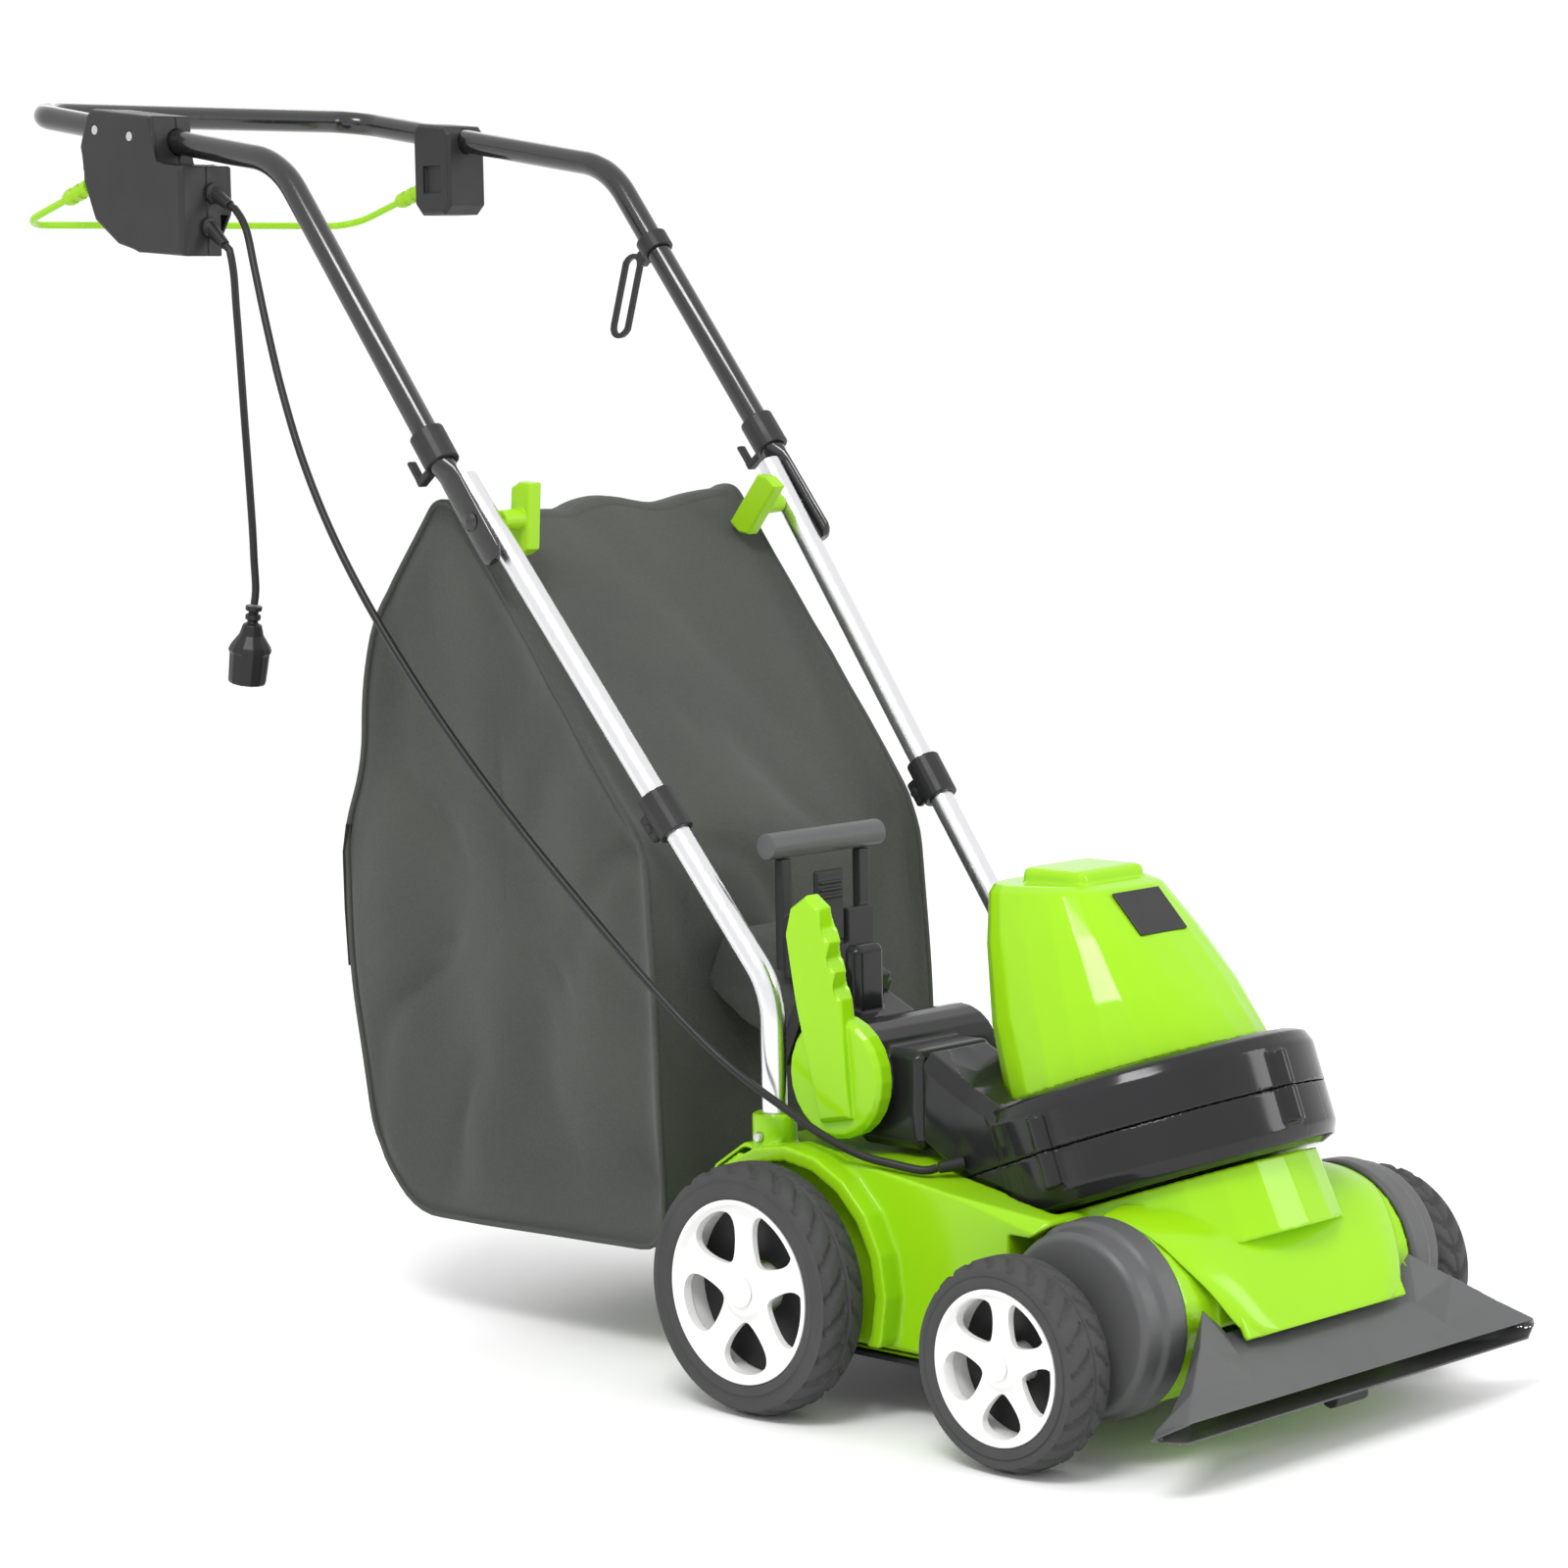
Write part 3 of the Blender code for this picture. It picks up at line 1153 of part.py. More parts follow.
# ---------------------------------------------------------------- cords, glands and plug
MOTOR_GLAND = Vector((-0.190, 0.4177, 0.977))
MOTOR_GLAND_DIRECTION = Vector((0.0, -0.90, -0.44)).normalized()
MAINS_GLAND = Vector((-0.195, 0.4177, 0.947))
MAINS_GLAND_DIRECTION = Vector((0.0, -0.80, -0.60)).normalized()
GLAND_LENGTH = 0.026
CORD_GAP = 0.0018  # between the end of a cord and the gland or plug it enters
ENTRY = Vector((-0.1284, -0.4000, 0.2015))  # foot of the motor cable's gland on the fan's neck
ENTRY_END = Vector((-0.1455, -0.3895, 0.1990))
PLUG_TOP = Vector((-0.1950, 0.3720, 0.6150))
PLUG_DIRECTION = Vector((0.0, 0.19, -0.98)).normalized()


def gland(name, foot, direction):
    """A flanged, tapered strain relief; its foot stands on the switch box's front face."""
    flange = rod(name, foot, foot + Vector((0, -0.004, 0)), 0.0095, 16, black_matte())
    boot = rod("boot", foot + Vector((0, -0.001, 0)), foot + direction * GLAND_LENGTH, 0.0068, 12,
               black_matte(), 0.0048)
    trim = box("trim", foot + Vector((-0.02, 0, -0.02)), foot + Vector((0.02, 0.02, 0.02)), black_matte())
    join(flange, boot)
    return cut(flange, trim)


def cable_entry():
    """The small gland on the side of the fan's neck where the motor cable ends."""
    return rod("cable_entry", ENTRY, ENTRY_END, 0.0058, 12, black_matte(), 0.0045)


def plug():
    """A moulded round two-pin plug with a ribbed neck."""
    length = 0.070
    profile = [
        (0, 0), (0.0075, 0.0), (0.0075, 0.004), (0.0045, 0.005), (0.0045, 0.007), (0.0070, 0.008),
        (0.0070, 0.012),
        (0.0048, 0.013), (0.0048, 0.015), (0.0085, 0.017), (0.0110, 0.026), (0.0180, 0.036),
        (0.0195, 0.040),
        (0.0180, 0.043), (0.0170, length - 0.002), (0.0160, length), (0, length),
    ]
    body = turned("plug", profile, PLUG_TOP, PLUG_DIRECTION, 12, black_matte())
    return body


MAINS_ROUTE = [
    MAINS_GLAND + MAINS_GLAND_DIRECTION * (GLAND_LENGTH + CORD_GAP),
    MAINS_GLAND + MAINS_GLAND_DIRECTION * (GLAND_LENGTH + 0.008), (-0.1950, 0.3858, 0.9060),
    (-0.1950, 0.3840, 0.8800), (-0.1952, 0.3815, 0.8500), (-0.1954, 0.3790, 0.8150),
    (-0.1956, 0.3765, 0.7800),
    (-0.1956, 0.3740, 0.7450), (-0.1955, 0.3718, 0.7100), (-0.1954, 0.3702, 0.6800),
    (-0.1952, 0.3698, 0.6560),
    PLUG_TOP - PLUG_DIRECTION * 0.016,
    PLUG_TOP - PLUG_DIRECTION * CORD_GAP,
]
MOTOR_ROUTE = [
    MOTOR_GLAND + MOTOR_GLAND_DIRECTION * (GLAND_LENGTH + CORD_GAP),
    MOTOR_GLAND + MOTOR_GLAND_DIRECTION * (GLAND_LENGTH + 0.009), (-0.1930, 0.3690, 0.9440),
    (-0.2000, 0.3500, 0.9080), (-0.2060, 0.3290, 0.8600), (-0.2110, 0.3050, 0.8050),
    (-0.2140, 0.2760, 0.7450), (-0.2150, 0.2400, 0.6850), (-0.2150, 0.1950, 0.6250),
    (-0.2140, 0.1420, 0.5650), (-0.2120, 0.0830, 0.5050), (-0.2090, 0.0180, 0.4450),
    (-0.2040, -0.0500, 0.3860), (-0.1970, -0.1150, 0.3300), (-0.1890, -0.1700, 0.2850),
    (-0.1830, -0.2120, 0.2570), (-0.1800, -0.2560, 0.2360), (-0.1790, -0.2960, 0.2190),
    (-0.1750, -0.3350, 0.2065), (-0.1645, -0.3660, 0.2005),
    ENTRY_END + (ENTRY_END - ENTRY).normalized() * 0.0120,
    ENTRY_END + (ENTRY_END - ENTRY).normalized() * CORD_GAP,
]


def cords():
    cord("mains_lead", MAINS_ROUTE, CORD_RADIUS, black_matte())
    cord("motor_cable", MOTOR_ROUTE, CORD_RADIUS, black_matte())


# ---------------------------------------------------------------- bag
BAG_OUTLINE = [
    (0.134, 0.712), (-0.088, 0.430), (-0.098, 0.300), (-0.104, 0.095), (0.205, 0.088), (0.257, 0.145),
    (0.284, 0.290), (0.291, 0.420), (0.262, 0.480), (0.259, 0.550), (0.243, 0.610), (0.156, 0.712),
]
FRAME_START = DUCT_LENGTH + GAP  # along the duct's slope, where the bag's mouth frame begins
FRAME_DEPTH = 0.012
SPOUT_END = 0.180


def bag():
    """The collection bag: a thin closed skin with its spout open at the mouth frame."""
    body = prism("bag", BAG_OUTLINE, -BAG_HALF, BAG_HALF, fabric())
    spout_start = FRAME_START + FRAME_DEPTH + GAP
    spout = duct_box("spout", spout_start, SPOUT_END, 0.042, 0.030, fabric())
    join(body, spout)
    room = prism("room", inset(BAG_OUTLINE, BAG_WALL), -BAG_HALF + BAG_WALL, BAG_HALF - BAG_WALL,
                 fabric())
    way_in = duct_box("way_in", spout_start - 0.01, SPOUT_END + 0.01, 0.039, 0.027, fabric())
    join(room, way_in)
    join(body, strap(-1), strap(1))
    return cut(body, room)


def bag_frame():
    """The plastic mouth frame that butts on the outlet duct, with two uprights for the grip."""
    ring = duct_box("bag_frame", FRAME_START, FRAME_START + FRAME_DEPTH, 0.050, 0.034, black_matte())
    hole = duct_box("hole", FRAME_START - 0.01, FRAME_START + FRAME_DEPTH + 0.01, 0.038, 0.023,
                    black_matte())
    cut(ring, hole)
    plate = box("plate", (DUCT_X - 0.050, -0.1900, 0.3235), (DUCT_X + 0.050, -0.1830, 0.374),
                black_matte())
    bracket = duct_box("bracket", FRAME_START, 0.104, 0.044, 0.0420, black_matte())
    cut(bracket, duct_box("below_bracket", 0.0, 0.20, 0.06, 0.0314, black_matte()))
    cut(bracket, duct_box("far_below", 0.0, 0.20, 0.06, 0.06, black_matte(), -0.0300))
    uprights = [box("upright", (DUCT_X + x - 0.006, -0.1838, 0.330), (DUCT_X + x + 0.006, -0.1755, 0.421),
                    black_matte()) for x in (-0.046, 0.046)]
    gap_for_latch = box("latch_gap", (DUCT_X - 0.019, -0.20, 0.345), (DUCT_X + 0.019, -0.17, 0.38),
                        black_matte())
    mouth_room = duct_box("mouth_room", FRAME_START - 0.03, FRAME_START + 0.05, 0.038, 0.023,
                          black_matte())
    cut(plate, gap_for_latch)
    join(ring, plate, bracket, *uprights)
    return cut(ring, mouth_room)


def grip_bar():
    """The round bar across the uprights that the bag is lifted by."""
    bar = rod("grip_bar", (DUCT_X - 0.066, -0.1795, 0.4325), (DUCT_X + 0.066, -0.1795, 0.4325), 0.0110,
              18, grey_plastic())
    return bar


def bag_latch():
    """The ribbed latch tab between the uprights; it pivots on the frame and rests over the catch."""
    tab = box("bag_latch", (DUCT_X - 0.0165, -0.1885, 0.3480), (DUCT_X + 0.0165, -0.1835, 0.4080),
              black_matte(), 0.0015)
    ribs = [box("rib", (DUCT_X - 0.013, -0.1905, z - 0.0012), (DUCT_X + 0.013, -0.1880, z + 0.0012),
                black_matte()) for z in (0.386, 0.392, 0.398)]
    join(tab, *ribs)
    return set_origin(tab, (DUCT_X, -0.186, 0.352))


def strap(side):
    """The webbing loop at a top corner of the bag that ends behind the collar's hook."""
    frame = upper_frame(side)
    high = frame @ Vector((0, 0.0350, 0.082))
    low = frame @ Vector((0, 0.0400, 0.062))
    foot = Vector((side * 0.170, 0.1455, 0.7095))
    low.x = high.x = side * 0.190
    rings = []
    for point, half, thick in ((foot, 0.006, 0.0012), (low, 0.007, 0.0012), (high, 0.007, 0.0012)):
        across = Vector((0, 0.787, -0.617)) * thick
        rings.append([point + Vector((-half, 0, 0)), point + Vector((half, 0, 0)),
                      point + Vector((half, 0, 0)) + across, point + Vector((-half, 0, 0)) + across])
    return skin("strap", rings, fabric())


# ---------------------------------------------------------------- build
def build():
    wheels()
    base_housing()
    underside()
    drum_caps()
    nozzle()
    nozzle_skid()
    fan_casing()
    impeller()
    motor()
    motor_cover()
    valve_housing()
    selector()
    for side in (-1, 1):
        lower_tube(side)
        socket_screw(side)
        bag_clip(side)
        handle_collar(side)
        coach_bolt(side)
        bail_sleeve(side)
    upper_tube()
    wing_nut(-1, math.radians(4))
    wing_nut(1, math.radians(40))
    cord_retainer()
    switch_box()
    saddle_screws()
    switch_unit()
    lock_button()
    bail_bracket()
    bail()
    gland("motor_gland", MOTOR_GLAND, MOTOR_GLAND_DIRECTION)
    gland("mains_gland", MAINS_GLAND, MAINS_GLAND_DIRECTION)
    cable_entry()
    plug()
    cords()
    bag()
    bag_frame()
    grip_bar()
    bag_latch()


build()
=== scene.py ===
"""Looks of the electric garden vacuum and blower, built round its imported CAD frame.

Units are metres. Housings, fittings and grips are re-skinned from their CAD nodes with rounded edges;
wheels, tubes, bag, cords and studio are modelled here.
"""

import json
import math

import bmesh
import bpy
from mathutils import Matrix, Vector, noise


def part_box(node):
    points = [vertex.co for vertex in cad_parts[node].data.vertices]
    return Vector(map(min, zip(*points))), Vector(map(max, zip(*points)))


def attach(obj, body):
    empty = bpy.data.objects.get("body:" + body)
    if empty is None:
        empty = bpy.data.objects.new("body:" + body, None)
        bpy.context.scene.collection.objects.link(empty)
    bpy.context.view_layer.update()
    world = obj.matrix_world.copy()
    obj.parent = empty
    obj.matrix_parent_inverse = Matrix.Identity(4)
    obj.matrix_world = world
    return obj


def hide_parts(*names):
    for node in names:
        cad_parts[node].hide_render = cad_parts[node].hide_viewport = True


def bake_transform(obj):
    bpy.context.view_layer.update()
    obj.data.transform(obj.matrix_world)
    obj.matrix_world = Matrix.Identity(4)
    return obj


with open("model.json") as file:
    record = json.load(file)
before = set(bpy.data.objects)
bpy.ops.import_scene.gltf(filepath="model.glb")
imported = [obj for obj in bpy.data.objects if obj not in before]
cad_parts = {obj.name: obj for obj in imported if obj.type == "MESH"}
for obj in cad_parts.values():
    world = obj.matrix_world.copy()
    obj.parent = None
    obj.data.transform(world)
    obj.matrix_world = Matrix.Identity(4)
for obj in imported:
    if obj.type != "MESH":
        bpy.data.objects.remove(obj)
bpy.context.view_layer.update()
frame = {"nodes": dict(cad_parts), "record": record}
RECORD = frame["record"]
BODY_OF = {node: body for body, nodes in RECORD["behaviour"]["bodies"].items() for node in nodes}
SLOT_OF = {row["node"]: row["material_slot"] for row in RECORD["subparts"]}

# ---------------------------------------------------------------- driving dimensions
HANDLE_HALF = 0.196
HANDLE_KNEE = (0.317, 1.001)
HANDLE_REAR = (0.676, 1.058)
PIVOT = (0.179, 0.076, 0.695)
LEG_X = 0.1972
TUBE_RADIUS = 0.0105
HANDLE_RADIUS = 0.011
BAG_HALF = 0.178
CORD_RADIUS = 0.0034
DUCT_TILT = math.radians(25)


# ---------------------------------------------------------------- camera, light and floor
def camera():
    """The camera, in front of the machine on its switch box side, near handle height."""
    data = bpy.data.cameras.new("camera")
    data.sensor_width = 36
    data.lens = 99.86
    data.clip_start, data.clip_end = 0.05, 60
    made = bpy.data.objects.new("camera", data)
    right, up = Vector((0.6978, -0.7161, -0.0185)), Vector((0.0888, 0.0609, 0.9942))
    back = right.cross(up)
    made.matrix_world = Matrix.Translation((-2.608, -2.638, 0.857)) @ Matrix(
        (right, up, back)).transposed().to_4x4()
    bpy.context.scene.collection.objects.link(made)
    bpy.context.scene.camera = made


def lamp(name, place, target, size, power):
    """One soft box that faces its target."""
    data = bpy.data.lights.new(name, "AREA")
    data.shape = "RECTANGLE"
    data.size, data.size_y = size
    data.energy = power
    made = bpy.data.objects.new(name, data)
    made.location = place
    made.rotation_mode = "QUATERNION"
    made.rotation_quaternion = (Vector(target) - Vector(place)).to_track_quat("-Z", "Y")
    bpy.context.scene.collection.objects.link(made)


def studio():
    """A pale floor, a bright room and three soft boxes."""
    bpy.context.scene.view_settings.view_transform = "Standard"
    world = bpy.data.worlds.new("studio")
    world.use_nodes = True
    world.node_tree.nodes["Background"].inputs["Color"].default_value = (1, 1, 1, 1)
    world.node_tree.nodes["Background"].inputs["Strength"].default_value = 1.04
    bpy.context.scene.world = world
    lamp("key", (-2.2, -1.2, 3.4), (0, 0, 0.4), (1.5, 1.0), 80)
    lamp("fill", (1.8, -3.0, 1.4), (0, 0, 0.3), (0.9, 1.8), 26)
    lamp("rim", (1.8, 2.6, 2.6), (0, 0, 0.5), (2.0, 1.4), 10)
    bm = bmesh.new()
    bmesh.ops.create_grid(bm, x_segments=40, y_segments=40, size=30)
    for v in bm.verts:
        v.co.z = -0.0006
    mesh = bpy.data.meshes.new("floor")
    bm.to_mesh(mesh)
    floor = bpy.data.objects.new("floor", mesh)
    bpy.context.scene.collection.objects.link(floor)
    finish = Surface("floor", (0.97, 0.97, 0.97), 0.6)
    floor.data.materials.append(finish.made)


# ---------------------------------------------------------------- materials
class Surface:
    """A Principled material whose node detail is added step by step."""

    def __init__(self, name, colour, roughness, metallic=0.0):
        self.made = bpy.data.materials.new(name)
        self.made.use_nodes = True
        self.tree = self.made.node_tree
        self.shader = self.tree.nodes["Principled BSDF"]
        self.colour = colour
        self.shader.inputs["Base Color"].default_value = (*colour, 1)
        self.shader.inputs["Roughness"].default_value = roughness
        self.shader.inputs["Metallic"].default_value = metallic
        self.made.diffuse_color = (*colour, 1)
        self.place = self.tree.nodes.new("ShaderNodeTexCoord").outputs["Object"]
        self.normal = None

    def node(self, kind, **settings):
        made = self.tree.nodes.new(kind)
        for key, value in settings.items():
            if key in made.inputs:
                made.inputs[key].default_value = value
            else:
                setattr(made, key, value)
        return made

    def noise(self, scale, detail=3.0, stretch=(1, 1, 1)):
        mapping = self.node("ShaderNodeMapping", Scale=stretch)
        self.tree.links.new(self.place, mapping.inputs["Vector"])
        made = self.node("ShaderNodeTexNoise", Scale=scale, Detail=detail)
        self.tree.links.new(mapping.outputs[0], made.inputs["Vector"])
        return made.outputs["Fac"]

    def ramp(self, value, low, high, first, last):
        made = self.node("ShaderNodeMapRange")
        for key, number in (("From Min", low), ("From Max", high), ("To Min", first), ("To Max", last)):
            made.inputs[key].default_value = number
        self.tree.links.new(value, made.inputs["Value"])
        return made.outputs["Result"]

    def vary_colour(self, value, other, share):
        mix = self.node("ShaderNodeMix", data_type="RGBA")
        colours = [socket for socket in mix.inputs if socket.type == "RGBA"]
        colours[0].default_value = (*self.colour, 1)
        colours[1].default_value = (*other, 1)
        self.tree.links.new(self.ramp(value, 0.3, 0.7, 0, share), mix.inputs["Factor"])
        result = [socket for socket in mix.outputs if socket.type == "RGBA"][0]
        self.tree.links.new(result, self.shader.inputs["Base Color"])

    def vary_roughness(self, value, low, high):
        self.tree.links.new(self.ramp(value, 0.3, 0.7, low, high), self.shader.inputs["Roughness"])

    def bump(self, value, strength, depth):
        made = self.node("ShaderNodeBump", Strength=strength, Distance=depth)
        self.tree.links.new(value, made.inputs["Height"])
        if self.normal is not None:
            self.tree.links.new(self.normal, made.inputs["Normal"])
        self.normal = made.outputs["Normal"]
        self.tree.links.new(self.normal, self.shader.inputs["Normal"])

    def soft_edges(self, radius):
        made = self.node("ShaderNodeBevel", Radius=radius, samples=4)
        self.normal = made.outputs["Normal"]
        self.tree.links.new(self.normal, self.shader.inputs["Normal"])


def plastic(name, colour, roughness, grain, tint, edges=0.0008, grain_scale=900):
    """Moulded plastic: faint mottling, slightly uneven gloss and a fine grain."""
    made = Surface(name, colour, roughness)
    if edges:
        made.soft_edges(edges)
    made.vary_colour(made.noise(9, 4), tint, 0.5)
    made.vary_roughness(made.noise(35, 4), roughness * 0.88, roughness * 1.15)
    made.bump(made.noise(grain_scale, 2), grain, 0.0004)
    made.shader.inputs["Specular IOR Level"].default_value = 0.30
    return made.made


def metal(name, colour, roughness, stretch, coat=0.0, metallic=1.0):
    made = Surface(name, colour, roughness, metallic)
    made.soft_edges(0.0005)
    made.vary_roughness(made.noise(220, 4, stretch), roughness * 0.8, roughness * 1.3)
    made.bump(made.noise(400, 3, stretch), 0.06, 0.0003)
    made.shader.inputs["Coat Weight"].default_value = coat
    made.shader.inputs["Specular IOR Level"].default_value = 0.40
    made.shader.inputs["Coat Roughness"].default_value = 0.08
    return made.made


def weave(name, colour, tint, pitch):
    """Coarse plain weave: warp and weft threads as crossed bands, with uneven dye and a slight sheen."""
    made = Surface(name, colour, 0.88)
    heights = []
    turned = made.node("ShaderNodeMapping")
    turned.inputs["Rotation"].default_value = (0, 0, math.radians(45))
    made.tree.links.new(made.place, turned.inputs["Vector"])
    for direction in ("X", "Z"):
        bands = made.node("ShaderNodeTexWave", bands_direction=direction, Scale=pitch, Distortion=0.4,
                          Detail=1.0)
        made.tree.links.new(turned.outputs[0], bands.inputs["Vector"])
        heights.append(bands.outputs["Fac"])
    both = made.node("ShaderNodeMath", operation="MULTIPLY")
    for socket, height in zip(both.inputs, heights):
        made.tree.links.new(height, socket)
    made.vary_colour(made.noise(5, 6), tint, 0.8)
    made.vary_roughness(made.noise(300, 3), 0.80, 0.95)
    made.bump(made.noise(30, 5), 0.18, 0.003)
    made.bump(both.outputs[0], 0.35, 0.0004)
    made.shader.inputs["Sheen Weight"].default_value = 0.08
    made.shader.inputs["Sheen Roughness"].default_value = 0.5
    return made.made


FINISHES = {
    "green_gloss": lambda: plastic("green_gloss", (0.27, 0.57, 0.006), 0.16, 0.03, (0.30, 0.61, 0.010)),
    "green_matte": lambda: plastic("green_matte", (0.28, 0.54, 0.008), 0.38, 0.10, (0.31, 0.59, 0.012)),
    "black_gloss": lambda: plastic("black_gloss", (0.014, 0.014, 0.015), 0.14, 0.03, (0.022, 0.022, 0.024)),
    "black_matte": lambda: plastic("black_matte", (0.018, 0.018, 0.019), 0.42, 0.25, (0.03, 0.03, 0.031)),
    "grey_plastic": lambda: plastic("grey_plastic", (0.085, 0.086, 0.088), 0.40, 0.20, (0.10, 0.10, 0.103)),
    "silver_tube": lambda: metal("silver_tube", (0.78, 0.78, 0.80), 0.24, (1, 1, 0.05)),
    "black_paint": lambda: metal("black_paint", (0.012, 0.012, 0.013), 0.22, (1, 1, 1), 0.6, 0.0),
    "steel": lambda: metal("steel", (0.60, 0.60, 0.61), 0.3, (1, 1, 1)),
    "motor_body": lambda: metal("motor_body", (0.30, 0.30, 0.31), 0.5, (1, 1, 1)),
    "tyre_rubber": lambda: plastic("tyre_rubber", (0.045, 0.045, 0.046), 0.70, 0.4, (0.062, 0.062, 0.063),
                                   0, 500),
    "rim_white": lambda: plastic("rim_white", (0.80, 0.80, 0.79), 0.3, 0.05, (0.86, 0.86, 0.85)),
    "bag_fabric": lambda: weave("bag_fabric", (0.040, 0.044, 0.038), (0.056, 0.061, 0.052), 210),
    "cord_black": lambda: plastic("cord_black", (0.012, 0.012, 0.012), 0.4, 0.15, (0.02, 0.02, 0.02),
                                  0, 600),
}
MADE = {}


def finish_of(slot):
    """The slot's material, made once."""
    if slot not in MADE:
        MADE[slot] = FINISHES[slot]()
    return MADE[slot]


# ---------------------------------------------------------------- mesh helpers
def piece_from(bm, name, slot, angle=40):
    bmesh.ops.recalc_face_normals(bm, faces=bm.faces[:])
    mesh = bpy.data.meshes.new(name)
    bm.to_mesh(mesh)
    bm.free()
    mesh.shade_smooth()
    mesh.set_sharp_from_angle(angle=math.radians(angle))
    mesh.materials.append(finish_of(slot))
    made = bpy.data.objects.new(name, mesh)
    bpy.context.scene.collection.objects.link(made)
    return made


def baked(thing):
    """The piece with its modifiers turned into mesh."""
    mesh = bpy.data.meshes.new_from_object(thing.evaluated_get(bpy.context.evaluated_depsgraph_get()))
    thing.modifiers.clear()
    thing.data = mesh
    return thing


def stand_for(piece, *nodes, slot=None):
    """The piece rides on its nodes' body and replaces them."""
    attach(piece, BODY_OF[nodes[0]])
    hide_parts(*nodes)
    return piece


def welded(node):
    """A copy of a CAD node's mesh with its split corners joined."""
    bm = bmesh.new()
    bm.from_mesh(frame["nodes"][node].data)
    bmesh.ops.transform(bm, matrix=frame["nodes"][node].matrix_world, verts=bm.verts)
    bmesh.ops.remove_doubles(bm, verts=bm.verts, dist=2e-5)
    return bm


def moulded(node, voxel, rounds):
    """The node's solid with every edge rounded, as moulded plastic has."""
    made = piece_from(welded(node), node + "_skin", SLOT_OF[node])
    remesh = made.modifiers.new("remesh", "REMESH")
    remesh.mode = "VOXEL"
    remesh.voxel_size = voxel
    smooth = made.modifiers.new("smooth", "SMOOTH")
    smooth.factor = 0.5
    smooth.iterations = rounds
    baked(made)
    if node in TURNED:
        round_out(made, *TURNED[node])
    made.data.shade_smooth()
    return stand_for(made, node)


def round_out(thing, start, direction, sides, low, high):
    """Moves a many-sided turned wall out to the true circle between two radii."""
    place = axis_matrix(start, direction)
    back, step = place.inverted(), 2 * math.pi / sides
    for v in thing.data.vertices:
        p = back @ v.co
        radius = math.hypot(p.x, p.y)
        if low < radius < high:
            off = (math.atan2(p.y, p.x) % step) - step / 2
            grow = math.cos(off) / math.cos(step / 2)
            fade = min(1.0, (radius - low) / 0.01)
            p.x, p.y = p.x * (1 + (grow - 1) * fade), p.y * (1 + (grow - 1) * fade)
            v.co = place @ p


def axis_matrix(start, direction, hint=Vector((1, 0, 0))):
    z = Vector(direction).normalized()
    x = hint - z * hint.dot(z)
    if x.length < 1e-6:
        x = Vector((0, 1, 0)) - z * z.y
    x.normalize()
    return Matrix.Translation(Vector(start)) @ Matrix((x, z.cross(x), z)).transposed().to_4x4()


def arc_between(first, last, share):
    axis = first.cross(last).normalized()
    return Matrix.Rotation(first.angle(last) * share, 3, axis) @ first


def rounded_path(corners, radii, steps):
    """Points along straight runs joined by arcs at the inner corners."""
    points = [Vector(corners[0])]
    for i, radius in zip(range(1, len(corners) - 1), radii):
        before, here, after = (Vector(corners[k]) for k in (i - 1, i, i + 1))
        one, two = (before - here).normalized(), (after - here).normalized()
        half = one.angle(two) / 2
        start, end = here + one * radius / math.tan(half), here + two * radius / math.tan(half)
        centre = here + (one + two).normalized() * (radius / math.sin(half))
        points += [centre + arc_between(start - centre, end - centre, k / steps) for k in range(steps + 1)]
    points.append(Vector(corners[-1]))
    return points


def sweep(name, points, sizes, slot, sides, across=Vector((1, 0, 0)), angle=40):
    """A closed tube through points; sizes gives each point's two half widths."""
    bm, rings, last = bmesh.new(), [], across
    for i, point in enumerate(points):
        along = (points[min(i + 1, len(points) - 1)] - points[max(i - 1, 0)]).normalized()
        u = (last - along * last.dot(along)).normalized()
        v, last = along.cross(u), u
        turns = [2 * math.pi * k / sides for k in range(sides)]
        rings.append([bm.verts.new(point + u * sizes[i][0] * math.cos(t) + v * sizes[i][1] * math.sin(t))
                      for t in turns])
    for first, second in zip(rings, rings[1:]):
        for i in range(sides):
            j = (i + 1) % sides
            bm.faces.new((first[i], first[j], second[j], second[i]))
    bm.faces.new(rings[0][::-1])
    bm.faces.new(rings[-1])
    return piece_from(bm, name, slot, angle)


def lathe(profile, start, direction, sides):
    """A bmesh turned about an axis through closed (radius, height) corners, all off the axis."""
    bm, frame_at = bmesh.new(), axis_matrix(start, direction)
    rings = []
    for radius, height in profile:
        turns = [2 * math.pi * i / sides for i in range(sides)]
        rings.append([bm.verts.new(frame_at @ Vector((radius * math.cos(t), radius * math.sin(t), height)))
                      for t in turns])
    for first, second in zip(rings, rings[1:] + rings[:1]):
        for i in range(sides):
            j = (i + 1) % sides
            bm.faces.new((first[i], first[j], second[j], second[i]))
    return bm


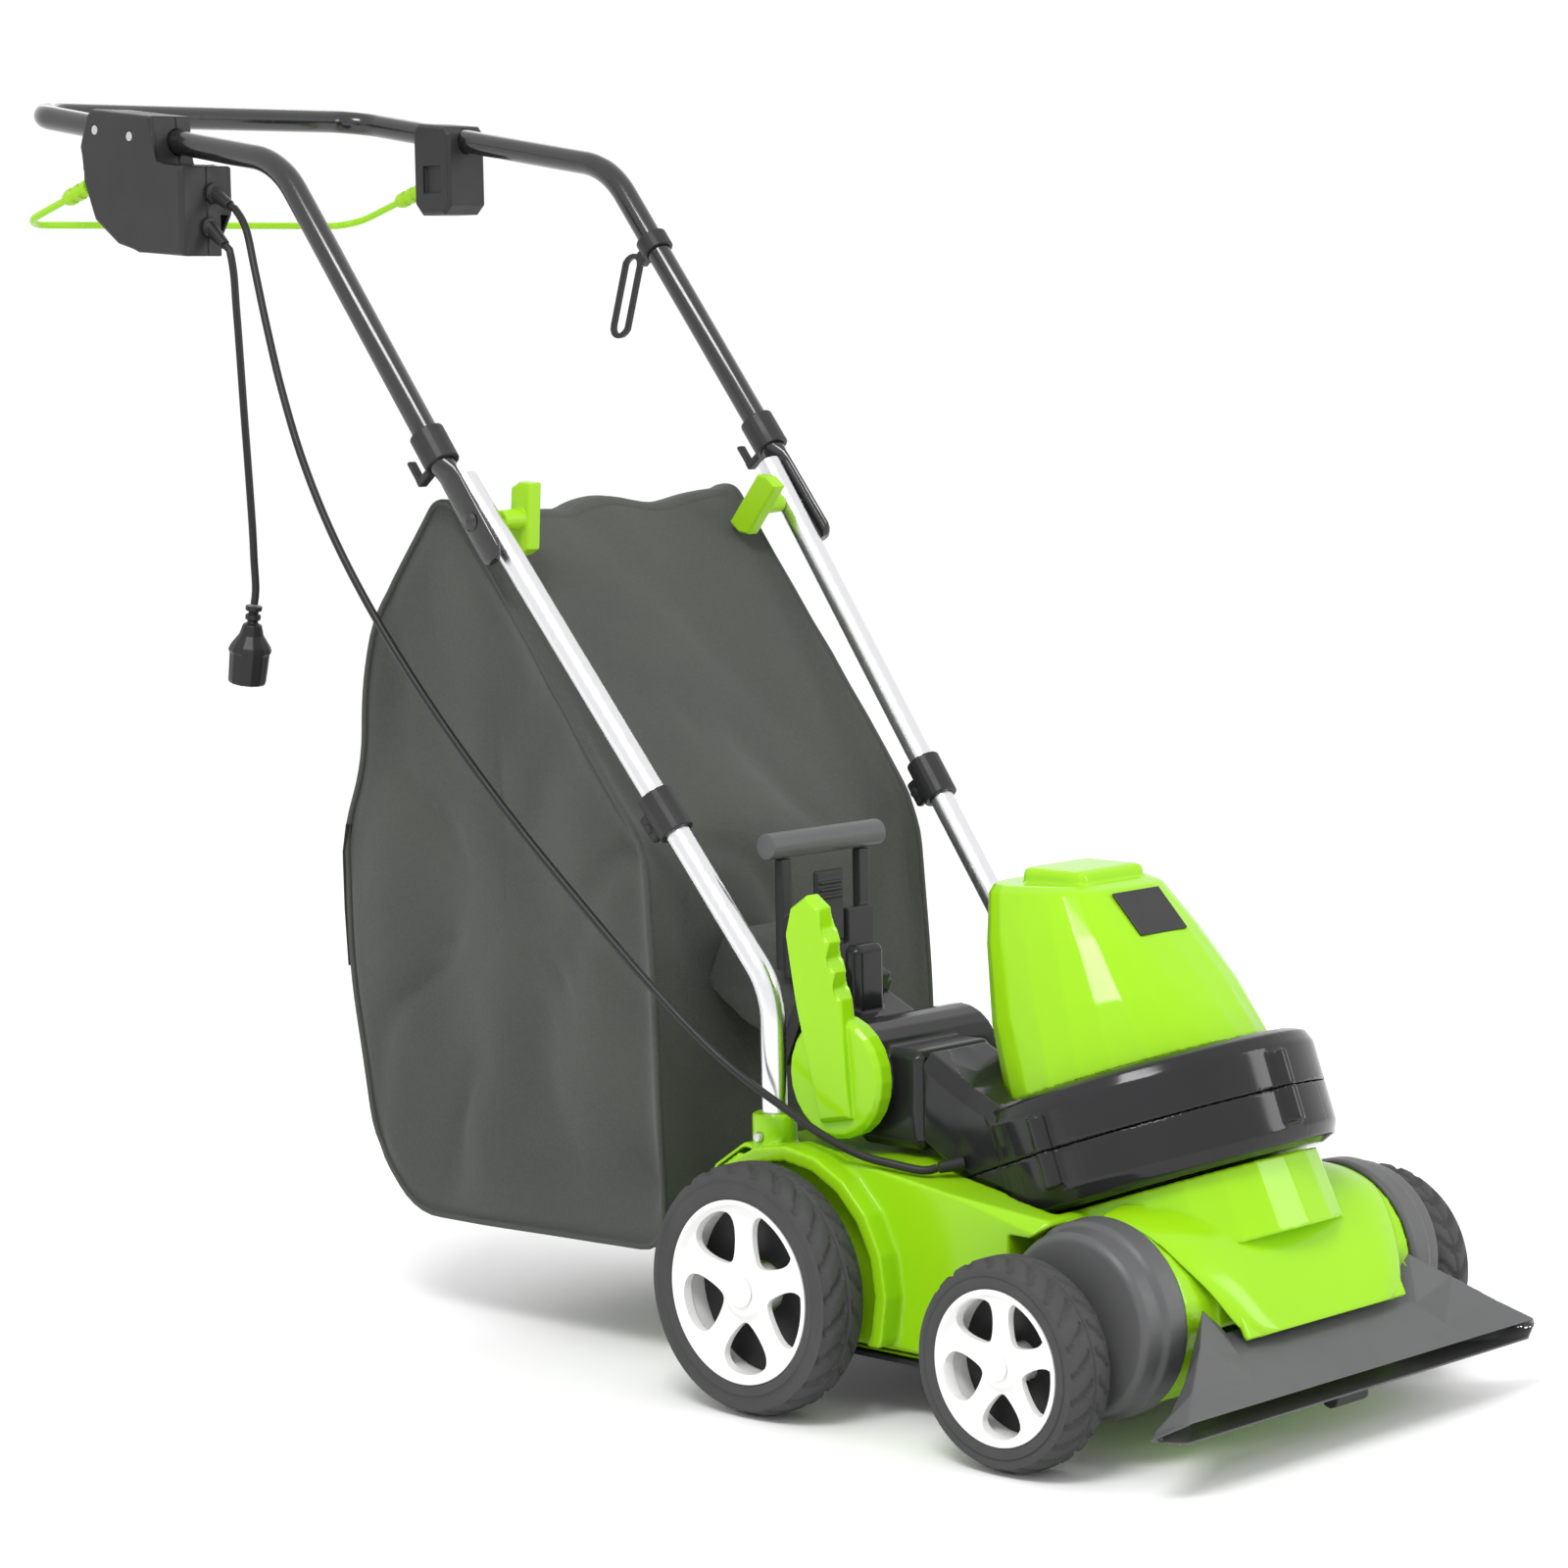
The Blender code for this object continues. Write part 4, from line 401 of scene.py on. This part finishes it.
def smooth_route(route, spacing):
    """A smooth curve through the route's points, read at an even spacing."""
    dense = []
    for i in range(len(route) - 1):
        p0, p1 = Vector(route[max(i - 1, 0)]), Vector(route[i])
        p2, p3 = Vector(route[i + 1]), Vector(route[min(i + 2, len(route) - 1)])
        for k in range(20):
            t = k / 20
            dense.append(0.5 * ((2 * p1) + (p2 - p0) * t + (2 * p0 - 5 * p1 + 4 * p2 - p3) * t**2
                                + (3 * p1 - p0 - 3 * p2 + p3) * t**3))
    dense.append(Vector(route[-1]))
    lengths = [0.0]
    for a, b in zip(dense, dense[1:]):
        lengths.append(lengths[-1] + (b - a).length)
    count = max(2, round(lengths[-1] / spacing))
    points, k = [], 0
    for i in range(count + 1):
        want = lengths[-1] * i / count
        while k < len(lengths) - 2 and lengths[k + 1] < want:
            k += 1
        share = (want - lengths[k]) / max(lengths[k + 1] - lengths[k], 1e-9)
        points.append(dense[k].lerp(dense[k + 1], share))
    return points, lengths[-1]


# ---------------------------------------------------------------- cords
GLAND_LENGTH, CORD_GAP = 0.026, 0.0018
MOTOR_GLAND = Vector((-0.190, 0.4177, 0.977))
MOTOR_GLAND_DIRECTION = Vector((0.0, -0.90, -0.44)).normalized()
MAINS_GLAND = Vector((-0.195, 0.4177, 0.947))
MAINS_GLAND_DIRECTION = Vector((0.0, -0.80, -0.60)).normalized()
ENTRY = Vector((-0.1284, -0.4000, 0.2015))
ENTRY_END = Vector((-0.1455, -0.3895, 0.1990))
PLUG_TOP = Vector((-0.1950, 0.3720, 0.6150))
PLUG_DIRECTION = Vector((0.0, 0.19, -0.98)).normalized()
MAINS_ROUTE = [
    MAINS_GLAND + MAINS_GLAND_DIRECTION * (GLAND_LENGTH + CORD_GAP),
    MAINS_GLAND + MAINS_GLAND_DIRECTION * (GLAND_LENGTH + 0.008), (-0.1950, 0.3858, 0.9060),
    (-0.1950, 0.3840, 0.8800), (-0.1952, 0.3815, 0.8500), (-0.1954, 0.3790, 0.8150),
    (-0.1956, 0.3765, 0.7800), (-0.1956, 0.3740, 0.7450), (-0.1955, 0.3718, 0.7100),
    (-0.1954, 0.3702, 0.6800), (-0.1952, 0.3698, 0.6560),
    PLUG_TOP - PLUG_DIRECTION * 0.016,
    PLUG_TOP - PLUG_DIRECTION * CORD_GAP,
]
MOTOR_ROUTE = [
    MOTOR_GLAND + MOTOR_GLAND_DIRECTION * (GLAND_LENGTH + CORD_GAP),
    MOTOR_GLAND + MOTOR_GLAND_DIRECTION * (GLAND_LENGTH + 0.009), (-0.1930, 0.3690, 0.9440),
    (-0.2000, 0.3500, 0.9080), (-0.2060, 0.3290, 0.8600), (-0.2110, 0.3050, 0.8050),
    (-0.2140, 0.2760, 0.7450), (-0.2150, 0.2400, 0.6850), (-0.2150, 0.1950, 0.6250),
    (-0.2140, 0.1420, 0.5650), (-0.2120, 0.0830, 0.5050), (-0.2090, 0.0180, 0.4450),
    (-0.2040, -0.0500, 0.3860), (-0.1970, -0.1150, 0.3300), (-0.1890, -0.1700, 0.2850),
    (-0.1830, -0.2120, 0.2570), (-0.1800, -0.2560, 0.2360), (-0.1790, -0.2960, 0.2190),
    (-0.1750, -0.3350, 0.2065), (-0.1645, -0.3660, 0.2005),
    ENTRY_END + (ENTRY_END - ENTRY).normalized() * 0.0120,
    ENTRY_END + (ENTRY_END - ENTRY).normalized() * CORD_GAP,
]


def cords():
    """The mains pigtail down to its plug, and the motor cable from the handle down to the base."""
    points, length = smooth_route(MAINS_ROUTE, 0.006)
    lead = sweep("mains_lead_skin", points, [(CORD_RADIUS, CORD_RADIUS)] * len(points), "cord_black", 16)
    stand_for(lead, "mains_lead")
    points, length = smooth_route(MOTOR_ROUTE, 0.006)
    cable = sweep("motor_cable_skin", points, [(CORD_RADIUS, CORD_RADIUS)] * len(points), "cord_black", 16)
    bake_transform(cable)
    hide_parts("motor_cable")


# ---------------------------------------------------------------- wheels
TREAD_STEPS = 288
TREAD_PITCH = 24
WHEEL_WIDTH = 0.046


def tread_depth(turn, across):
    """Depth of the V-shaped tread notches at a share of the turn and of the half width."""
    phase = (turn * TREAD_PITCH + abs(across) * 0.9) % 1.0
    if abs(across) > 0.22 and phase < 0.30:
        return 0.0026
    if abs(across) < 0.06:
        return 0.0018
    return 0.0


def tyre(node, side):
    """A tyre with a bead, bulged side walls with a moulded ring, and cut treads."""
    low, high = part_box(node)
    radius = (high.z - low.z) / 2
    middle = (Vector(low) + Vector(high)) / 2
    bead = 0.0735 * radius / 0.100
    half = WHEEL_WIDTH / 2
    wall = [
        (bead, -half + 0.002), (bead + 0.003, -half), (bead + 0.008, -half - 0.0002),
        (bead + 0.009, -half + 0.0009), (radius - 0.012, -half + 0.0008), (radius - 0.011, -half),
        (radius - 0.006, -half + 0.0008),
    ]
    shares = [-1 + 2 * k / 18 for k in range(19)]
    bm = bmesh.new()
    place = axis_matrix(middle, (side, 0, 0))
    rings = []
    for i in range(TREAD_STEPS):
        t = 2 * math.pi * i / TREAD_STEPS
        profile = list(wall)
        for share in shares:
            crown = radius - 0.0045 * abs(share) ** 4
            profile.append((crown - tread_depth(i / TREAD_STEPS, share), share * (half - 0.004)))
        profile += [(r, -h) for r, h in reversed(wall)]
        rings.append([bm.verts.new(place @ Vector((r * math.cos(t), r * math.sin(t), h)))
                      for r, h in profile])
    count = len(rings[0])
    for first, second in zip(rings, rings[1:] + rings[:1]):
        for i in range(count):
            j = (i + 1) % count
            bm.faces.new((first[i], first[j], second[j], second[i]))
    return stand_for(piece_from(bm, node + "_tread", "tyre_rubber", 50), node)


def rim(node, tyre_node, side):
    """A white rim: a dished disc with five pointed windows and a stepped edge."""
    low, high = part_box(tyre_node)
    radius = (high.z - low.z) / 2
    scale = radius / 0.100
    inner = Vector((side * (0.248 - WHEEL_WIDTH), (low.y + high.y) / 2, (low.z + high.z) / 2))
    edge, disc = 0.0735 * scale - 0.0003, 0.034
    profile = [
        (0.0068, 0.004), (0.016 * scale, 0.004), (0.018 * scale, 0.008), (0.019 * scale, disc - 0.005),
        (0.022 * scale, disc - 0.003), (edge - 0.006, disc - 0.003), (edge - 0.004, disc - 0.005),
        (edge - 0.004, 0.003), (edge, 0.003), (edge, 0.0450), (edge - 0.0012, 0.0455),
        (edge - 0.0035, 0.0455), (edge - 0.0045, 0.0445), (edge - 0.006, disc + 0.0065),
        (edge - 0.008, disc + 0.005), (edge - 0.011, disc + 0.0035), (0.026 * scale, disc + 0.002),
        (0.022 * scale, disc + 0.0035), (0.020 * scale, disc + 0.0060), (0.0185 * scale, disc + 0.0068),
        (0.0068, disc + 0.0068),
    ]
    made = piece_from(lathe(profile, inner, (side, 0, 0), 96), node + "_dish", "rim_white", 35)
    place = axis_matrix(inner, (side, 0, 0))
    cutters = bmesh.new()
    for k in range(5):
        turn = place @ Matrix.Rotation(math.radians(72 * k + 18), 4, "Z")
        ring = []
        for i in range(28):
            t = 2 * math.pi * i / 28
            along, across = 0.0205 * math.cos(t), 0.0212 * math.sin(t) * (1 + 0.50 * math.cos(t))
            ring.append(((0.0460 + along) * scale, across * scale))
        lower = [cutters.verts.new(turn @ Vector((x, y, disc - 0.02))) for x, y in ring]
        upper = [cutters.verts.new(turn @ Vector((x, y, disc + 0.02))) for x, y in ring]
        cutters.faces.new(lower[::-1])
        cutters.faces.new(upper)
        for i in range(28):
            j = (i + 1) % 28
            cutters.faces.new((lower[i], lower[j], upper[j], upper[i]))
    cutter = piece_from(cutters, node + "_cutter", "rim_white")
    window = made.modifiers.new("windows", "BOOLEAN")
    window.operation, window.object, window.solver = "DIFFERENCE", cutter, "EXACT"
    baked(made)
    bpy.data.objects.remove(cutter)
    made.data.shade_smooth()
    made.data.set_sharp_from_angle(angle=math.radians(35))
    return stand_for(made, node)


def hub_cap(node, tyre_node, side):
    """The round cap in the rim's middle, with a shallow dish and a turned lip."""
    low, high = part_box(tyre_node)
    scale = (high.z - low.z) / 0.200
    inner = Vector((side * (0.248 - WHEEL_WIDTH), (low.y + high.y) / 2, (low.z + high.z) / 2))
    bm = lathe([(0.0004, 0.0415), (0.0118 * scale, 0.0415), (0.0125 * scale, 0.0425),
                (0.0118 * scale, 0.0436), (0.0100 * scale, 0.0438), (0.0085 * scale, 0.0430),
                (0.0004, 0.0430)], inner, (side, 0, 0), 48)
    cap = piece_from(bm, node + "_cap", "rim_white", 50)
    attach(cap, BODY_OF[node])
    return cap


def window_shade_plate(node, tyre_node, side):
    """A dark plate inside the wheel behind the rim's windows: painted shade that stands for the shadow seen
    through them.
    """
    low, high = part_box(tyre_node)
    scale = (high.z - low.z) / 0.200
    inner = Vector((side * (0.248 - WHEEL_WIDTH), (low.y + high.y) / 2, (low.z + high.z) / 2))
    bm = lathe([(0.0205 * scale, 0.0120), (0.0684 * scale, 0.0120), (0.0684 * scale, 0.0140),
                (0.050 * scale, 0.0160), (0.0205 * scale, 0.0140)], inner, (side, 0, 0), 64)
    # black_matte plate as painted shade: it darkens what is seen through the rim's windows
    plate = piece_from(bm, node + "_backing", "black_matte", 50)
    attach(plate, BODY_OF[node])


def wheels():
    for end in ("front", "rear"):
        for name, side in (("left", 1), ("right", -1)):
            node, rubber = f"rim_{end}_{name}", f"tyre_{end}_{name}"
            tyre(rubber, side)
            rim(node, rubber, side)
            hub_cap(node, rubber, side)
            window_shade_plate(node, rubber, side)


# ---------------------------------------------------------------- tubes
def tubes():
    """Silver lower tubes and the black handle tube with pressed ends."""
    half, y, z = PIVOT
    for name, side in (("left", 1), ("right", -1)):
        knee, pivot = Vector((side * 0.150, -0.216, 0.322)), Vector((side * half, y, z))
        top = pivot + (pivot - knee).normalized() * 0.044
        points = rounded_path([(side * 0.150, -0.216, 0.1712), knee, top], [0.075], 14)
        tube = sweep("lower_tube_skin_" + name, points, [(TUBE_RADIUS, TUBE_RADIUS)] * len(points),
                     "silver_tube", 32)
        stand_for(tube, "lower_tube_" + name)
    rows = []
    for side in (-1, 1):
        foot = Vector((side * LEG_X, y, z))
        top = Vector((side * HANDLE_HALF, *HANDLE_KNEE))
        place = axis_matrix(foot, top - foot)
        stations = [(-0.041, 0.006), (-0.0395, 0.009), (-0.037, 0.0113), (-0.033, 0.0125), (0.0, 0.0125),
                    (0.040, 0.0125), (0.048, 0.0122)]
        rows.append([(place @ Vector((0, 0, s)), (0.004, w)) for s, w in stations])
        rows[-1].append((place @ Vector((0, 0, 0.058)), (HANDLE_RADIUS, HANDLE_RADIUS)))
    first, last = rows
    corners = [first[-1][0], Vector((-HANDLE_HALF, *HANDLE_KNEE)), Vector((-HANDLE_HALF, *HANDLE_REAR)),
               Vector((HANDLE_HALF, *HANDLE_REAR)), Vector((HANDLE_HALF, *HANDLE_KNEE)), last[-1][0]]
    middle = rounded_path(corners, [0.085, 0.038, 0.038, 0.085], 14)[1:-1]
    stops = first + [(p, (HANDLE_RADIUS, HANDLE_RADIUS)) for p in middle] + last[::-1]
    tube = sweep("upper_tube_skin", [p for p, _ in stops], [s for _, s in stops], "black_paint", 32)
    stand_for(tube, "upper_tube")


# ---------------------------------------------------------------- bag
BAG_OUTLINE = [
    (0.134, 0.712), (-0.088, 0.430), (-0.098, 0.300), (-0.104, 0.095), (0.205, 0.088), (0.257, 0.145),
    (0.284, 0.290), (0.291, 0.420), (0.262, 0.480), (0.259, 0.550), (0.243, 0.610), (0.156, 0.712),
]
BAG_CENTRE = Vector((0.085, 0.360))


def round_outline(corners, cutback, per_corner, per_run):
    """A closed outline whose corners are rounded by a curve that starts a cutback away from each."""
    points = []
    count = len(corners)
    for i in range(count):
        before, here, after = (Vector(corners[k % count]) for k in (i - 1, i, i + 1))
        reach = min(cutback, (here - before).length * 0.45, (after - here).length * 0.45)
        start = here + (before - here).normalized() * reach
        end = here + (after - here).normalized() * reach
        for k in range(per_corner + 1):
            t = k / per_corner
            points.append(start.lerp(here, t).lerp(here.lerp(end, t), t))
        following = Vector(corners[(i + 1) % count])
        further = Vector(corners[(i + 2) % count])
        reach_next = min(cutback, (following - here).length * 0.45, (further - following).length * 0.45)
        stop = following + (here - following).normalized() * reach_next
        points += [end.lerp(stop, k / per_run) for k in range(1, per_run)]
    return points


def bag_shell():
    """The sewn bag: gusset round the outline, two crowned side panels, with folds that hang from the top."""
    outline = round_outline(BAG_OUTLINE, 0.030, 5, 9)
    half = BAG_HALF - 0.002
    bm = bmesh.new()
    rows = []
    shares = [0.02, 0.12, 0.22, 0.32, 0.42, 0.52, 0.61, 0.70, 0.78, 0.85, 0.91, 0.95, 0.98]
    for share in shares:
        crown = half - 0.006 * (1 - share) ** 0.8 - (0.007 if share > 0.97 else 0.0)
        rows.append((share, -crown))
    gusset = [-half + 0.010 + (2 * half - 0.020) * k / 34 for k in range(35)]
    rows = rows + [(0.994, -half + 0.004)] + [(1.0, x) for x in gusset] + [(0.994, half - 0.004)]
    rows += [(share, -x) for share, x in reversed(rows[:len(shares)])]
    rings = []
    for share, x in rows:
        ring = []
        for point in outline:
            flat = BAG_CENTRE + (point - BAG_CENTRE) * share
            ring.append(bm.verts.new(folded(x, flat.x, flat.y, share)))
        rings.append(ring)
    count = len(outline)
    for first, second in zip(rings, rings[1:]):
        for i in range(count):
            j = (i + 1) % count
            bm.faces.new((first[i], first[j], second[j], second[i]))
    bm.faces.new(rings[0][::-1])
    bm.faces.new(rings[-1])
    made = piece_from(bm, "bag_shell", "bag_fabric", 60)
    level = made.modifiers.new("smooth", "SUBSURF")
    level.levels = level.render_levels = 1
    baked(made)
    made.data.shade_smooth()
    return stand_for(made, "bag")


def folded(x, y, z, share):
    """A point of the bag moved in by sag and folds: broad hollows, long hanging folds and a few creases."""
    base = Vector((x, y, z))
    height = max(0.0, min(1.0, (z - 0.09) / 0.62))
    front = abs(x) < BAG_HALF - 0.02 and share >= 0.99
    along = x if front else y
    hanging = noise.noise(Vector((along * 11 + 3, z * 2.6 + along * 5, 0.7)))
    crease = (1 - abs(noise.noise(Vector((along * 7 + z * 4, z * 5 - along * 6, 4.7))))) ** 7
    broad = noise.noise(Vector((x * 5 + 11, y * 5, z * 4.5)))
    sag = 0.012 * math.sin(math.pi * height)
    if front:
        inward = Vector((0, BAG_CENTRE.x - y, BAG_CENTRE.y - z)).normalized()
        depth = 0.0130 * hanging + 0.0110 * broad + 0.0090 * crease
        span = math.cos(math.pi / 2 * x / BAG_HALF) ** 0.5
        return base + inward * ((max(depth, -0.004) + 0.005 + sag * 0.4) * span)
    depth = 0.0190 * (hanging + 0.35) + 0.0150 * (broad + 0.3) + 0.0110 * crease
    rim = min(1.0, (1.02 - share) * 7)
    return base - Vector((math.copysign(1, x) * (max(depth, 0.0) + 0.001) * rim, 0, 0))


def duct_frame():
    """Z up the duct's slope from where the fan's duct starts, X across."""
    slope = Vector((0, math.cos(DUCT_TILT), math.sin(DUCT_TILT)))
    return axis_matrix((-0.052, -0.262, 0.251), slope)


def bag_spout():
    """The gathered sleeve between the mouth frame and the bag."""
    place = duct_frame()
    bm, rings = bmesh.new(), []
    for k in range(19):
        t = 0.0848 + (0.186 - 0.0848) * k / 18
        grow = 0.004 * math.sin(math.pi * k / 18)
        ring = []
        for i in range(64):
            turn = 2 * math.pi * i / 64
            c, s = math.cos(turn), math.sin(turn)
            shape = (abs(c) ** 6 + abs(s) ** 6) ** (-1 / 6)
            ruck = 0.0005 * math.sin(turn * 11 + k * 0.8) * math.sin(math.pi * k / 18)
            ring.append(bm.verts.new(place @ Vector((
                (0.0405 + grow + ruck) * c * shape, (0.0285 + grow + ruck) * s * shape, t))))
        rings.append(ring)
    for first, second in zip(rings, rings[1:]):
        for i in range(64):
            j = (i + 1) % 64
            bm.faces.new((first[i], first[j], second[j], second[i]))
    made = piece_from(bm, "bag_spout", "bag_fabric", 60)
    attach(made, BODY_OF["bag"])


def seam(name, points, width, thick, slot, across):
    """A flat sewn tape through points, slightly crowned."""
    made = sweep(name, points, [(width / 2, thick / 2)] * len(points), slot, 12, across, 70)
    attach(made, BODY_OF["bag"])
    return made


def bag_trim():
    """Piped seams round both side panels, a hem along the top edge and the zip down the rear edge."""
    outline = round_outline(BAG_OUTLINE, 0.030, 5, 9)
    for name, side in (("left", 1), ("right", -1)):
        x = side * (BAG_HALF - 0.0075)
        loop = [folded(x, *(BAG_CENTRE + (p - BAG_CENTRE) * 0.991), 0.994) for p in outline]
        loop.append(loop[0].copy())
        seam("bag_piping_" + name, loop, 0.0052, 0.0052, "bag_fabric", Vector((1, 0, 0)))
    top = [folded(-0.156 + 0.312 * k / 24, 0.1330, 0.7075, 1.0) for k in range(25)]
    seam("bag_hem", top, 0.0120, 0.0052, "bag_fabric", Vector((0, 0.62, 0.79)))
    zip_line = [Vector((-BAG_HALF + 0.012, y, z)) for y, z in
                ((0.2850, 0.300), (0.2880, 0.350), (0.2885, 0.400), (0.2830, 0.425))]
    seam("bag_zip", zip_line, 0.0120, 0.0030, "cord_black", Vector((1, 0, 0)))


# ---------------------------------------------------------------- apron
APRON_PATH = [  # rear to front: y, z, half width
    (-0.5450, 0.1835, 0.1385), (-0.5700, 0.1830, 0.1385), (-0.5900, 0.1765, 0.1380),
    (-0.6060, 0.1690, 0.1360), (-0.6200, 0.1545, 0.1300), (-0.6330, 0.1395, 0.1200),
    (-0.6420, 0.1265, 0.1130), (-0.6500, 0.1115, 0.1060), (-0.6550, 0.1010, 0.0980),
    (-0.6580, 0.0945, 0.0860),
]


def apron():
    """The smooth green bonnet over the drum, narrowing from full width to a rounded tip at the nozzle."""
    bm, rows, across = bmesh.new(), [], 28
    path = [(Vector((0, y, z)), half) for y, z, half in APRON_PATH]
    for i, (point, half) in enumerate(path):
        ahead = path[min(i + 1, len(path) - 1)][0] - path[max(i - 1, 0)][0]
        out = Vector((0, ahead.z, -ahead.y)).normalized()
        row = []
        for k in range(across + 1):
            share = -1 + 2 * k / across
            drop = 0.0060 * max(0.0, abs(share) - 0.70) ** 2 / 0.09
            row.append(bm.verts.new(point + Vector((share * half, 0, 0)) + out * (0.0016 - drop)))
        rows.append(row)
    for first, second in zip(rows, rows[1:]):
        for k in range(across):
            bm.faces.new((first[k], first[k + 1], second[k + 1], second[k]))
    made = piece_from(bm, "apron", "green_gloss", 60)
    thick = made.modifiers.new("thick", "SOLIDIFY")
    thick.thickness, thick.offset = 0.0022, 0.0
    fine = made.modifiers.new("fine", "SUBSURF")
    fine.levels = fine.render_levels = 2
    baked(made)
    made.data.shade_smooth()
    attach(made, BODY_OF["base_housing"])


# ---------------------------------------------------------------- everything
FAN_TILT = math.radians(20)
FAN_AXIS = (0, math.sin(FAN_TILT), math.cos(FAN_TILT))
FAN_CENTRE, DRUM = (0, -0.487, 0.221), (0, -0.558, 0.106)
DRUM_CAP = (DRUM, (1, 0, 0), 22, 0.045, 0.0770)
TURNED = {  # node: a point on the axis, its direction, number of flats, and the radii they lie between
    "fan_casing_upper": (FAN_CENTRE, FAN_AXIS, 26, 0.118, 0.1385),
    "fan_casing_lower": (FAN_CENTRE, FAN_AXIS, 26, 0.118, 0.1385),
    "drum_cap_left": DRUM_CAP, "drum_cap_right": DRUM_CAP,
}
MOULDED = {  # node: voxel and smoothing rounds
    "base_housing": (0.0017, 5), "motor_cover": (0.0014, 6), "fan_casing_upper": (0.0014, 5),
    "fan_casing_lower": (0.0015, 5), "valve_housing": (0.0012, 4), "nozzle": (0.0009, 3),
    "drum_cap_left": (0.0012, 4), "drum_cap_right": (0.0012, 4), "selector_lever": (0.0008, 4),
    "switch_box_outer": (0.0009, 3), "switch_box_inner": (0.0009, 3), "wing_nut_left": (0.0006, 3),
    "wing_nut_right": (0.0006, 3), "handle_collar_left": (0.0006, 3), "handle_collar_right": (0.0006, 3),
    "bag_clip_left": (0.0006, 3), "bag_clip_right": (0.0006, 3), "cord_retainer": (0.0006, 3),
    "bag_frame": (0.0009, 3), "bag_latch": (0.0006, 3), "grip_bar": (0.0009, 5), "bail": (0.0007, 4),
    "bail_bracket": (0.0006, 3), "bail_sleeve_left": (0.0005, 2), "bail_sleeve_right": (0.0005, 2),
    "plug": (0.0006, 3), "mains_gland": (0.0005, 2), "motor_gland": (0.0005, 2), "cable_entry": (0.0005, 2),
    "lock_button": (0.0004, 2), "nozzle_skid": (0.0012, 2),
}


def build():
    camera()
    skins = {node: moulded(node, *how) for node, how in MOULDED.items()}
    cords()
    wheels()
    tubes()
    apron()
    bag_shell()
    bag_spout()
    bag_trim()
    for node, thing in frame["nodes"].items():
        if node not in MOULDED:
            for slot in thing.material_slots:
                slot.material = finish_of(SLOT_OF[node])
    studio()


build()
